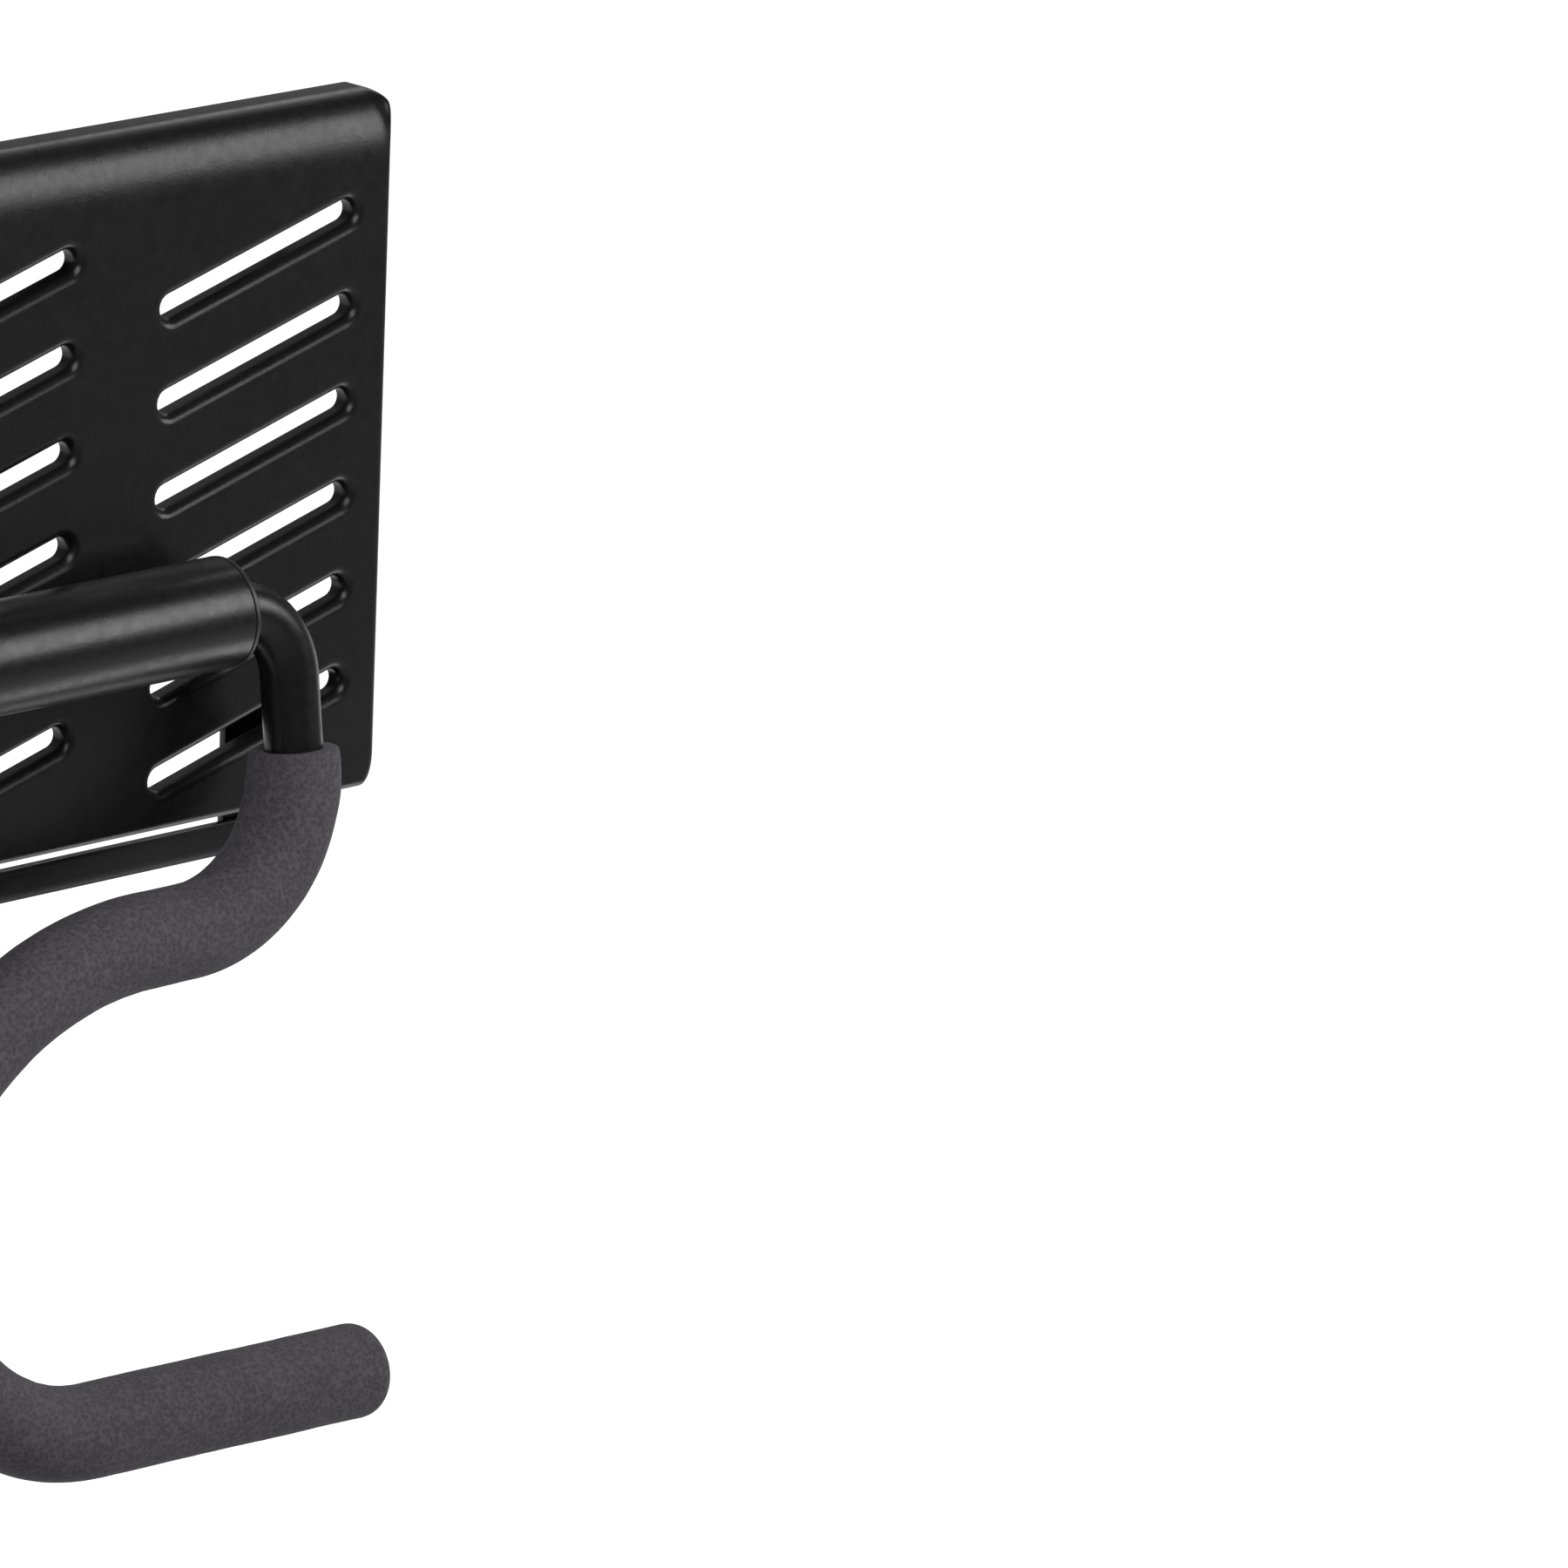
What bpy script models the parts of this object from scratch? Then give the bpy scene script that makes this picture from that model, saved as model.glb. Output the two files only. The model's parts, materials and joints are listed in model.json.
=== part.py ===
"""A wall rack for a bicycle: a slotted sheet-steel panel carries a round cross tube, and a padded hook
slides and swings in each end of the tube.

Metres, +Z up. The wall is the plane Y = 0, the rack stands out of it along -Y, and X = 0 is the middle.
The origin is the centre of the upper wall rail's back face. Each hook is drawn in its own plane, which
hangs from the tube's axis and leans out from the wall by HOOK_LEAN.
"""

from math import cos, pi, radians, sin

import bmesh
import bpy
from mathutils import Matrix, Vector

GAP = 0.0003  # between two pieces that touch

# Panel: a tray of sheet steel, open towards the wall
PANEL_WIDTH = 0.618
PANEL_HEIGHT = 0.2420
PANEL_DEPTH = 0.0205
PANEL_SHEET = 0.0018
PANEL_FRONT_Y = -0.025
PANEL_TOP_Z = 0.0197
PANEL_BOTTOM_Z = PANEL_TOP_Z - PANEL_HEIGHT
SIDE_EDGE_BEND = 0.004
TOP_EDGE_BEND = (0.0136, 0.024)  # as (depth, height)
BOTTOM_EDGE_BEND = (0.0028, 0.0028)
TOP_CORNERS = ((0.003, 0.007), (0.006, 0.005))  # as (across, up), where the bends start and where they end
BOTTOM_CORNERS = ((0.003, 0.009), (0.0065, 0.0115))
MIN_CORNER = 0.0003
CORNER_STEPS = 4
BEND_STEPS = 4

# Slots in the panel
SLOT_COLUMNS = 5
SLOT_ROWS = 6
COLUMN_PITCH = 0.1244
ROW_PITCH = 0.03268
TOP_ROW_Z = PANEL_BOTTOM_Z + 0.1918
COLUMNS_OFF_CENTER = 0.0006
SLOT_LENGTH = 0.0891
SLOT_WIDTH = 0.00825
SLOT_ANGLE = radians(15.6)
SLOT_END_STEPS = 5

# Wall rails behind the panel
RAIL_SHEET = 0.003
UPPER_RAIL_LENGTH = 0.552
UPPER_RAIL_DROP = 0.0346
UPPER_RAIL_REACH = 0.0130
UPPER_RAIL_TOP_Z = PANEL_TOP_Z - PANEL_SHEET - 2 * GAP
LOWER_BAR_LENGTH = 0.578
LOWER_BAR_HEIGHT = 0.0113
LOWER_BAR_TOP_Z = PANEL_BOTTOM_Z - 0.0090
UPRIGHT_X = 0.274
UPRIGHT_WIDTH = 0.030
UPRIGHT_TOP_Z = PANEL_BOTTOM_Z + 0.0563
UPRIGHT_TAB_REACH = 0.0130
WALL_HOLE_RADIUS = 0.0033
UPPER_HOLE_XS = (-0.203, -0.100, 0.100, 0.203)
UPPER_HOLE_Z = -0.003
LOWER_HOLE_Z = UPRIGHT_TOP_Z - 0.012
RIVET_RADIUS = 0.002
RIVET_HEAD_RADIUS = 0.0038
RIVET_HEAD_HEIGHT = 0.0015

# Cross tube
TUBE_RADIUS = 0.019
TUBE_WALL = 0.002
TUBE_AXIS_Y = PANEL_FRONT_Y - 0.021
TUBE_AXIS_Z = PANEL_BOTTOM_Z + 0.0799
TUBE_END_X = PANEL_WIDTH / 2 - 0.0914
BUSH_FLANGE = 0.002
BUSH_LENGTH = 0.016
BUSH_RADIUS = TUBE_RADIUS - TUBE_WALL - 0.0004
ROUND_STEPS = 24
SMALL_STEPS = 12

# Straps that hold the tube on the panel
STRAP_X = 0.062
STRAP_WIDTH = 0.024
STRAP_SHEET = 0.0025
STRAP_EAR = 0.016
STRAP_BOLT_OFFSET = TUBE_RADIUS + GAP + STRAP_SHEET + 0.008
SEAT_HALF_HEIGHT = 0.012
BOLT_RADIUS = 0.003
BOLT_HOLE_RADIUS = BOLT_RADIUS + GAP
BOLT_HEAD_RADIUS = 0.0055
BOLT_HEAD_HEIGHT = 0.0033
NUT_RADIUS = 0.0058
NUT_HEIGHT = 0.005

# Panel screws
SCREW_RADIUS = 0.0020
SCREW_HEAD_RADIUS = 0.0033
SCREW_HEAD_HEIGHT = 0.0018
SCREW_LENGTH = 0.008
SCREW_Y = -0.0078
UPPER_SCREW_X = 0.080

# Hooks
HOOK_LEAN = radians(7.2)
LEG_X = PANEL_WIDTH / 2 - 0.0639
ARM_RADIUS = 0.010
ARM_WALL = 0.002
STUB_END_X = 0.018
SHOULDER_RADIUS = 0.026
LEG_END = 0.0525
SLEEVE_START = 0.051
KNEE_RADIUS = 0.052
SHELF_RUN = 0.0196
BACK_RADIUS = 0.135
BACK_SWEEP = radians(36.6)
BELLY_RADIUS = 0.074
PEG_DROOP = radians(1.2)
BELLY_SWEEP = pi - BACK_SWEEP - PEG_DROOP
PEG_LENGTH = 0.119
SHOULDER_STEPS = 5
ARM_SIDES = 14

# Foam sleeve on each hook
FOAM_RADIUS = 0.0162
FOAM_RIM_RADIUS = 0.0153
FOAM_TIP = 0.007
FOAM_TIP_ROUND = 0.0065

# Parts inside the tube, on the arm's stub
STOP_WASHER_RADIUS = 0.0150
STOP_WASHER_THICKNESS = 0.002
FINGER_INNER_RADIUS = 0.0122
FINGER_LENGTH = 0.0065
FINGER_HALF_ANGLE = radians(6)
SWING = radians(82.8)
NOTCH_CLEARANCE = radians(2)
NOTCH_INNER_RADIUS = 0.0115
NOTCH_DEPTH = 0.006
GUIDE_LENGTH = 0.024
RING_THICKNESS = 0.003
RING_RADIUS = 0.0135
INSERT_LENGTH = 0.022
PLUG_LENGTH = 0.012
PLUG_LIP = 0.0015

# Lock knobs under the tube
KNOB_X = 0.095
BOSS_RADIUS = 0.008
BOSS_HEIGHT = 0.008
STUD_RADIUS = 0.004
KNOB_LOBES = 5
KNOB_RADIUS = 0.0150
KNOB_LOBE_DEPTH = 0.0018
KNOB_HEIGHT = 0.014
KNOB_BORE_DEPTH = 0.010

SIDES = (("left", -1), ("right", 1))


def clear_scene():
    for obj in list(bpy.data.objects):
        bpy.data.objects.remove(obj, do_unlink=True)


def principled(name, color, metallic, roughness):
    material = bpy.data.materials.new(name)
    material.use_nodes = True
    shader = material.node_tree.nodes["Principled BSDF"]
    shader.inputs["Base Color"].default_value = (*color, 1.0)
    shader.inputs["Metallic"].default_value = metallic
    shader.inputs["Roughness"].default_value = roughness
    return material


def make_materials():
    return {
        "powder_coat": principled("powder_coat", (0.020, 0.019, 0.020), 0.0, 0.34),
        "foam": principled("foam", (0.065, 0.062, 0.068), 0.0, 0.92),
        "zinc": principled("zinc", (0.62, 0.63, 0.65), 1.0, 0.32),
        "nylon": principled("nylon", (0.030, 0.030, 0.032), 0.0, 0.48),
    }


def add_object(name, mesh, material, smooth_angle=None):
    if smooth_angle is not None:
        mesh.shade_smooth()
        mesh.set_sharp_from_angle(angle=smooth_angle)
    obj = bpy.data.objects.new(name, mesh)
    bpy.context.scene.collection.objects.link(obj)
    if material is not None:
        mesh.materials.append(material)
    return obj


def mesh_from_bmesh(name, bm):
    bmesh.ops.recalc_face_normals(bm, faces=bm.faces)
    mesh = bpy.data.meshes.new(name)
    bm.to_mesh(mesh)
    bm.free()
    return mesh


def bridge(bm, loop_a, loop_b):
    """Quads between two closed loops of the same length, or a fan where one loop is a single point."""
    count = max(len(loop_a), len(loop_b))
    for i in range(count):
        j = (i + 1) % count
        if len(loop_a) == 1:
            bm.faces.new((loop_a[0], loop_b[j], loop_b[i]))
        elif len(loop_b) == 1:
            bm.faces.new((loop_a[i], loop_a[j], loop_b[0]))
        else:
            bm.faces.new((loop_a[i], loop_a[j], loop_b[j], loop_b[i]))


def loft_mesh(name, rings, closed=False):
    """A skin through rings of points. Open ends are capped, unless the last ring meets the first."""
    bm = bmesh.new()
    loops = [[bm.verts.new(point) for point in ring] for ring in rings]
    for loop_a, loop_b in zip(loops, loops[1:]):
        bridge(bm, loop_a, loop_b)
    if closed:
        bridge(bm, loops[-1], loops[0])
    else:
        for loop in (loops[0], loops[-1]):
            if len(loop) > 1:
                bm.faces.new(loop)
    return mesh_from_bmesh(name, bm)


def turned_mesh(name, outline, steps=ROUND_STEPS):
    """A round piece about local X. The outline is a closed list of (x, radius), one ring for each point."""
    rings = []
    for x, radius in outline:
        if radius == 0:
            rings.append([(x, 0, 0)])
        else:
            angles = [2 * pi * i / steps for i in range(steps)]
            rings.append([(x, radius * cos(a), radius * sin(a)) for a in angles])
    return loft_mesh(name, rings, closed=outline[0][1] > 0 and outline[-1][1] > 0)


def bolt_outline(head_radius, head_height, radius, length):
    """Outline (x, radius) of a button-head bolt, with the head before x = 0 and the shank after it."""
    return (
        (-head_height, 0),
        (-head_height, head_radius * 0.55),
        (-head_height * 0.5, head_radius * 0.9),
        (0, head_radius),
        (0, radius),
        (length, radius),
        (length, 0),
    )


def nut_mesh(name, corner_radius, height, bore, steps=24):
    """A hexagon nut about local X, from x = 0, with a round bore."""
    angles = [2 * pi * i / steps for i in range(steps)]
    flat = corner_radius * cos(pi / 6)
    hexagon = [flat / cos((a + pi / 6) % (pi / 3) - pi / 6) for a in angles]
    outside = [[(x, r * cos(a), r * sin(a)) for r, a in zip(hexagon, angles)] for x in (0, height)]
    inside = [[(x, bore * cos(a), bore * sin(a)) for a in angles] for x in (height, 0)]
    return loft_mesh(name, outside + inside, closed=True)


def prism_mesh(name, outline, depth):
    """An outline in local XZ, extruded along +Y from y = 0 to y = depth."""
    rings = [[(x, y, z) for x, z in outline] for y in (0, depth)]
    return loft_mesh(name, rings)


def box_mesh(name, low, high):
    outline = ((low[0], low[2]), (high[0], low[2]), (high[0], high[2]), (low[0], high[2]))
    mesh = prism_mesh(name, outline, high[1] - low[1])
    mesh.transform(Matrix.Translation((0, low[1], 0)))
    return mesh


def cylinder_mesh(name, start, direction, radius, length, steps=20):
    """A plain cylinder from start along a direction, with its vertices in world space."""
    mesh = turned_mesh(name, ((0, 0), (0, radius), (length, radius), (length, 0)), steps)
    turn = Vector(direction).to_track_quat("X", "Z").to_matrix().to_4x4()
    mesh.transform(Matrix.Translation(start) @ turn)
    return mesh


def guide(name, mesh):
    """A helper that other pieces are cut or joined with."""
    obj = add_object(name, mesh, None)
    obj.hide_render = True
    obj.display_type = "WIRE"
    return obj


def boolean(obj, helper, operation="DIFFERENCE"):
    modifier = obj.modifiers.new(operation.lower() + "_" + helper.name, "BOOLEAN")
    modifier.operation = operation
    modifier.solver = "EXACT"
    modifier.object = helper


def joined_mesh(name, meshes):
    """Separate closed shapes as one mesh, for use as one cutter."""
    bm = bmesh.new()
    for mesh in meshes:
        bm.from_mesh(mesh)
    return mesh_from_bmesh(name, bm)


def drill(obj, name, starts, direction, radius, length):
    """Round holes through an object, from each start along a direction."""
    drills = [cylinder_mesh(name, start, direction, radius, length, SMALL_STEPS) for start in starts]
    boolean(obj, guide(name, joined_mesh(name, drills)))


def arc_points(center, radius, start, end, steps):
    """Points on an arc in a plane, with both ends."""
    turns = [start + (end - start) * i / steps for i in range(steps + 1)]
    return [(center[0] + radius * cos(a), center[1] + radius * sin(a)) for a in turns]


# Panel


def tray_ring(inset, turn, depth=None):
    """One closed ring round the tray, a turn into its bends. The inset is PANEL_SHEET for the inner skin."""
    pull = 1 - sin(turn)
    half_x = PANEL_WIDTH / 2 - inset - (SIDE_EDGE_BEND - inset) * pull
    top = (PANEL_TOP_Z - inset, 1, TOP_EDGE_BEND, TOP_CORNERS)
    bottom = (PANEL_BOTTOM_Z + inset, -1, BOTTOM_EDGE_BEND, BOTTOM_CORNERS)
    points = []
    for quarter, sign_x, edge in ((0, 1, top), (1, -1, top), (2, -1, bottom), (3, 1, bottom)):
        edge_z, sign_z, long_bend, corners = edge
        edge_z -= sign_z * (long_bend[1] - inset) * pull
        across_size, up_size = (
            max(MIN_CORNER, front + (rear - front) * sin(turn) - inset)
            for front, rear in zip(*corners)
        )
        for step in range(CORNER_STEPS + 1):
            around = (quarter + step / CORNER_STEPS) * pi / 2
            across, up = cos(around), sin(around)
            x = sign_x * (half_x - across_size) + across_size * across
            z = edge_z - sign_z * up_size + up_size * up
            bend = (SIDE_EDGE_BEND - inset) * across**2 + (long_bend[0] - inset) * up**2
            y = PANEL_FRONT_Y + inset + bend * (1 - cos(turn)) if depth is None else depth
            points.append((x, y, z))
    return points


def slot_mesh(center_x, center_z):
    """A slot's cutter: a long hole with round ends, through the panel's front."""
    half = SLOT_LENGTH / 2 - SLOT_WIDTH / 2
    radius = SLOT_WIDTH / 2
    outline = arc_points((half, 0), radius, -pi / 2, pi / 2, SLOT_END_STEPS)
    outline += arc_points((-half, 0), radius, pi / 2, 3 * pi / 2, SLOT_END_STEPS)
    mesh = prism_mesh("slot", outline, 0.010)
    place = Matrix.Translation((center_x, PANEL_FRONT_Y - 0.004, center_z))
    mesh.transform(place @ Matrix.Rotation(-SLOT_ANGLE, 4, "Y"))
    return mesh


def make_panel(material):
    angles = [radians(90) * i / BEND_STEPS for i in range(BEND_STEPS + 1)]
    back_y = PANEL_FRONT_Y + PANEL_DEPTH
    outside = [tray_ring(0, a) for a in angles] + [tray_ring(0, pi / 2, back_y)]
    inside = [tray_ring(PANEL_SHEET, a) for a in angles] + [tray_ring(PANEL_SHEET, pi / 2, back_y)]
    panel = add_object("back_panel", loft_mesh("back_panel", outside + inside[::-1]), material, radians(35))

    slots = []
    for column in range(SLOT_COLUMNS):
        for row in range(SLOT_ROWS):
            center_x = (column - (SLOT_COLUMNS - 1) / 2) * COLUMN_PITCH + COLUMNS_OFF_CENTER
            slots.append(slot_mesh(center_x, TOP_ROW_Z - row * ROW_PITCH))
    boolean(panel, guide("slot_cutters", joined_mesh("slot_cutters", slots)))

    bolt_starts = [(side * STRAP_X, PANEL_FRONT_Y - 0.004, z) for _, side in SIDES for z in strap_bolt_zs()]
    drill(panel, "strap_bolt_holes", bolt_starts, (0, 1, 0), BOLT_HOLE_RADIUS, 0.010)
    hole_radius = SCREW_RADIUS + GAP
    top_starts = [(x, SCREW_Y, PANEL_TOP_Z + 0.004) for x in (-UPPER_SCREW_X, UPPER_SCREW_X)]
    drill(panel, "top_screw_holes", top_starts, (0, 0, -1), hole_radius, 0.010)
    bottom_starts = [(x, SCREW_Y, PANEL_BOTTOM_Z - 0.004) for x in (-UPRIGHT_X, UPRIGHT_X)]
    drill(panel, "bottom_screw_holes", bottom_starts, (0, 0, 1), hole_radius, 0.010)


# Wall rails


def angle_section(reach, drop):
    """An L in (y, z) from its outer corner at the wall: one leg out, one leg down the wall."""
    return (
        (0, 0),
        (-reach, 0),
        (-reach, -RAIL_SHEET),
        (-RAIL_SHEET, -RAIL_SHEET),
        (-RAIL_SHEET, -drop),
        (0, -drop),
    )


def angle_mesh(name, center_x, corner_z, width, reach, drop):
    rings = []
    for x in (center_x - width / 2, center_x + width / 2):
        rings.append([(x, y, corner_z + z) for y, z in angle_section(reach, drop)])
    return loft_mesh(name, rings)


def make_upper_rail(material):
    size = (UPPER_RAIL_LENGTH, UPPER_RAIL_REACH, UPPER_RAIL_DROP)
    mesh = angle_mesh("upper_wall_rail", 0, UPPER_RAIL_TOP_Z, *size)
    rail = add_object("upper_wall_rail", mesh, material)
    wall_starts = [(x, -0.010, UPPER_HOLE_Z) for x in UPPER_HOLE_XS]
    drill(rail, "upper_wall_holes", wall_starts, (0, 1, 0), WALL_HOLE_RADIUS, 0.020)
    tapped_starts = [(x, SCREW_Y, UPPER_RAIL_TOP_Z + 0.004) for x in (-UPPER_SCREW_X, UPPER_SCREW_X)]
    drill(rail, "upper_tapped_holes", tapped_starts, (0, 0, -1), SCREW_RADIUS + GAP, 0.010)


def make_upright(side_name, side, material):
    """A plate on the wall at one end of the lower bar, with a tab under which the panel is screwed."""
    name = "rail_upright_" + side_name
    x = side * UPRIGHT_X
    plate_low = (x - UPRIGHT_WIDTH / 2, -RAIL_SHEET, LOWER_BAR_TOP_Z - LOWER_BAR_HEIGHT)
    plate_high = (x + UPRIGHT_WIDTH / 2, 0, UPRIGHT_TOP_Z)
    upright = add_object(name, box_mesh(name, plate_low, plate_high), material)
    tab_bottom = PANEL_BOTTOM_Z + PANEL_SHEET + 2 * GAP
    tab_low = (x - UPRIGHT_WIDTH / 2 + 0.003, -UPRIGHT_TAB_REACH, tab_bottom)
    tab_high = (x + UPRIGHT_WIDTH / 2 - 0.003, -RAIL_SHEET / 2, tab_bottom + RAIL_SHEET)
    boolean(upright, guide(name + "_tab", box_mesh(name + "_tab", tab_low, tab_high)), "UNION")

    drill(upright, name + "_wall_hole", [(x, -0.010, LOWER_HOLE_Z)], (0, 1, 0), WALL_HOLE_RADIUS, 0.020)
    tapped_start = (x, SCREW_Y, tab_bottom - 0.004)
    drill(upright, name + "_tapped_hole", [tapped_start], (0, 0, 1), SCREW_RADIUS + GAP, 0.010)
    rivet_start = (x, -0.010, LOWER_BAR_TOP_Z - LOWER_BAR_HEIGHT / 2)
    drill(upright, name + "_rivet_hole", [rivet_start], (0, 1, 0), RIVET_RADIUS + GAP, 0.020)


def make_lower_bar(material):
    front_y = -2 * RAIL_SHEET - GAP
    low = (-LOWER_BAR_LENGTH / 2, front_y, LOWER_BAR_TOP_Z - LOWER_BAR_HEIGHT)
    high = (LOWER_BAR_LENGTH / 2, front_y + RAIL_SHEET, LOWER_BAR_TOP_Z)
    bar = add_object("lower_wall_rail", box_mesh("lower_wall_rail", low, high), material)
    rivet_z = LOWER_BAR_TOP_Z - LOWER_BAR_HEIGHT / 2
    starts = [(side * UPRIGHT_X, -0.015, rivet_z) for _, side in SIDES]
    drill(bar, "bar_rivet_holes", starts, (0, 1, 0), RIVET_RADIUS + GAP, 0.020)


def make_rivets(material):
    """A rivet ties the lower bar to each upright, with its tail flush inside the upright."""
    front_y = -2 * RAIL_SHEET - GAP
    outline = (
        (0, 0),
        (0, RIVET_HEAD_RADIUS * 0.6),
        (RIVET_HEAD_HEIGHT * 0.6, RIVET_HEAD_RADIUS),
        (RIVET_HEAD_HEIGHT, RIVET_HEAD_RADIUS),
        (RIVET_HEAD_HEIGHT, RIVET_RADIUS),
        (RIVET_HEAD_HEIGHT - front_y, RIVET_RADIUS),
        (RIVET_HEAD_HEIGHT - front_y, 0),
    )
    for side_name, side in SIDES:
        name = "rail_rivet_" + side_name
        rivet = add_object(name, turned_mesh(name, outline, SMALL_STEPS), material, radians(40))
        rivet.rotation_euler = (0, 0, pi / 2)
        rivet_z = LOWER_BAR_TOP_Z - LOWER_BAR_HEIGHT / 2
        rivet.location = (side * UPRIGHT_X, front_y - RIVET_HEAD_HEIGHT - GAP, rivet_z)


# Cross tube and its straps


def strap_bolt_zs():
    return (TUBE_AXIS_Z - STRAP_BOLT_OFFSET, TUBE_AXIS_Z + STRAP_BOLT_OFFSET)


def make_tube(material):
    end = TUBE_END_X - BUSH_FLANGE - GAP
    inner = TUBE_RADIUS - TUBE_WALL
    outline = ((-end, TUBE_RADIUS), (end, TUBE_RADIUS), (end, inner), (-end, inner))
    mesh = turned_mesh("cross_tube", outline, ROUND_STEPS + 8)
    tube = add_object("cross_tube", mesh, material, radians(40))
    tube.location = (0, TUBE_AXIS_Y, TUBE_AXIS_Z)
    starts = [(side * KNOB_X, TUBE_AXIS_Y, TUBE_AXIS_Z - 0.012) for _, side in SIDES]
    drill(tube, "stud_holes", starts, (0, 0, -1), STUD_RADIUS + 2 * GAP, 0.012)


def make_end_bushes(material):
    """A flanged plain bearing closes each end of the tube, and the arm turns and slides in it."""
    bore = ARM_RADIUS + 2 * GAP
    flange = BUSH_FLANGE
    outline = (
        (-flange, BUSH_RADIUS),
        (-flange, TUBE_RADIUS),
        (-flange * 0.5, TUBE_RADIUS),
        (0, TUBE_RADIUS - flange * 0.5),
        (0, bore),
        (-flange - BUSH_LENGTH, bore),
        (-flange - BUSH_LENGTH, BUSH_RADIUS),
    )
    for side_name, side in SIDES:
        name = "tube_end_bush_" + side_name
        bush = add_object(name, turned_mesh(name, outline), material, radians(40))
        bush.location = (side * TUBE_END_X, TUBE_AXIS_Y, TUBE_AXIS_Z)
        bush.rotation_euler = (0, 0, 0 if side > 0 else pi)


def strap_outline():
    """Outline of a strap in (z, y): two ears on the panel and a half round over the tube."""
    inner = TUBE_RADIUS + GAP
    outer = inner + STRAP_SHEET
    panel_y = PANEL_FRONT_Y - GAP - TUBE_AXIS_Y
    ear_z = outer + STRAP_EAR
    around_in = arc_points((0, 0), inner, 0, -pi, 14)
    around_out = arc_points((0, 0), outer, -pi, 0, 14)
    outline = [(ear_z, panel_y), (inner, panel_y)] + around_in
    outline += [(-inner, panel_y), (-ear_z, panel_y), (-ear_z, panel_y - STRAP_SHEET)]
    outline += [(-outer, panel_y - STRAP_SHEET)] + around_out
    outline += [(outer, panel_y - STRAP_SHEET), (ear_z, panel_y - STRAP_SHEET)]
    return outline


def seat_outline():
    """Outline of a seat in (z, y): flat on the panel and hollowed to the tube's round."""
    radius = TUBE_RADIUS + GAP
    panel_y = PANEL_FRONT_Y - GAP - TUBE_AXIS_Y
    spread = SEAT_HALF_HEIGHT / radius
    start = pi / 2 - spread
    hollow = arc_points((0, 0), radius, start, pi - start, 8)
    return [(-SEAT_HALF_HEIGHT, panel_y), (SEAT_HALF_HEIGHT, panel_y)] + hollow


def make_straps(strap_material, seat_material):
    for side_name, side in SIDES:
        rings = {"strap": strap_outline(), "seat": seat_outline()}
        for kind, material in (("strap", strap_material), ("seat", seat_material)):
            name = "tube_" + kind + "_" + side_name
            ends = (-STRAP_WIDTH / 2, STRAP_WIDTH / 2)
            mesh = loft_mesh(name, [[(x, y, z) for z, y in rings[kind]] for x in ends])
            piece = add_object(name, mesh, material, radians(30))
            piece.location = (side * STRAP_X, TUBE_AXIS_Y, TUBE_AXIS_Z)
            if kind == "strap":
                starts = [(side * STRAP_X, PANEL_FRONT_Y - 0.006, z) for z in strap_bolt_zs()]
                drill(piece, name + "_holes", starts, (0, 1, 0), BOLT_HOLE_RADIUS, 0.010)


def make_strap_bolts(material):
    """Each bolt's head bears on a strap's ear, and its nut sits behind the panel."""
    head_y = PANEL_FRONT_Y - GAP - STRAP_SHEET - GAP
    nut_y = PANEL_FRONT_Y + PANEL_SHEET + GAP
    shank = nut_y - head_y + NUT_HEIGHT + 0.002
    outline = bolt_outline(BOLT_HEAD_RADIUS, BOLT_HEAD_HEIGHT, BOLT_RADIUS, shank)
    for side_name, side in SIDES:
        for place, z in zip(("lower", "upper"), strap_bolt_zs()):
            tail = side_name + "_" + place
            bolt_mesh = turned_mesh("strap_bolt_" + tail, outline, SMALL_STEPS)
            bolt = add_object("strap_bolt_" + tail, bolt_mesh, material, radians(40))
            hex_mesh = nut_mesh("strap_nut_" + tail, NUT_RADIUS, NUT_HEIGHT, BOLT_RADIUS + GAP)
            nut = add_object("strap_nut_" + tail, hex_mesh, material)
            for piece, y in ((bolt, head_y), (nut, nut_y)):
                piece.rotation_euler = (0, 0, pi / 2)
                piece.location = (side * STRAP_X, y, z)


def make_panel_screws(material):
    """Button-head screws through the panel's top and bottom flanges into the rails."""
    outline = bolt_outline(SCREW_HEAD_RADIUS, SCREW_HEAD_HEIGHT, SCREW_RADIUS, SCREW_LENGTH)
    places = (("upper", UPPER_SCREW_X, PANEL_TOP_Z + GAP, 1), ("lower", UPRIGHT_X, PANEL_BOTTOM_Z - GAP, -1))
    for place, x, z, facing in places:
        for side_name, side in SIDES:
            name = "panel_screw_" + place + "_" + side_name
            screw = add_object(name, turned_mesh(name, outline, SMALL_STEPS), material, radians(40))
            screw.rotation_euler = (0, facing * pi / 2, 0)
            screw.location = (side * x, SCREW_Y, z)


# Hooks


def hook_moves():
    """The hook's centre line from the shoulder to the end of the peg, as straight runs and bends.

    A bend is (radius, sweep, steps); its sweep is positive when the hook turns from outboard to down.
    """
    return (
        ("bend", SHOULDER_RADIUS, pi / 2, SHOULDER_STEPS),
        ("run", SLEEVE_START - SHOULDER_RADIUS),
        ("run", LEG_END - SLEEVE_START),
        ("bend", KNEE_RADIUS, pi / 2, 6),
        ("run", SHELF_RUN),
        ("bend", BACK_RADIUS, -BACK_SWEEP, 3),
        ("bend", BELLY_RADIUS, -BELLY_SWEEP, 10),
        ("run", PEG_LENGTH),
    )


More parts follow.
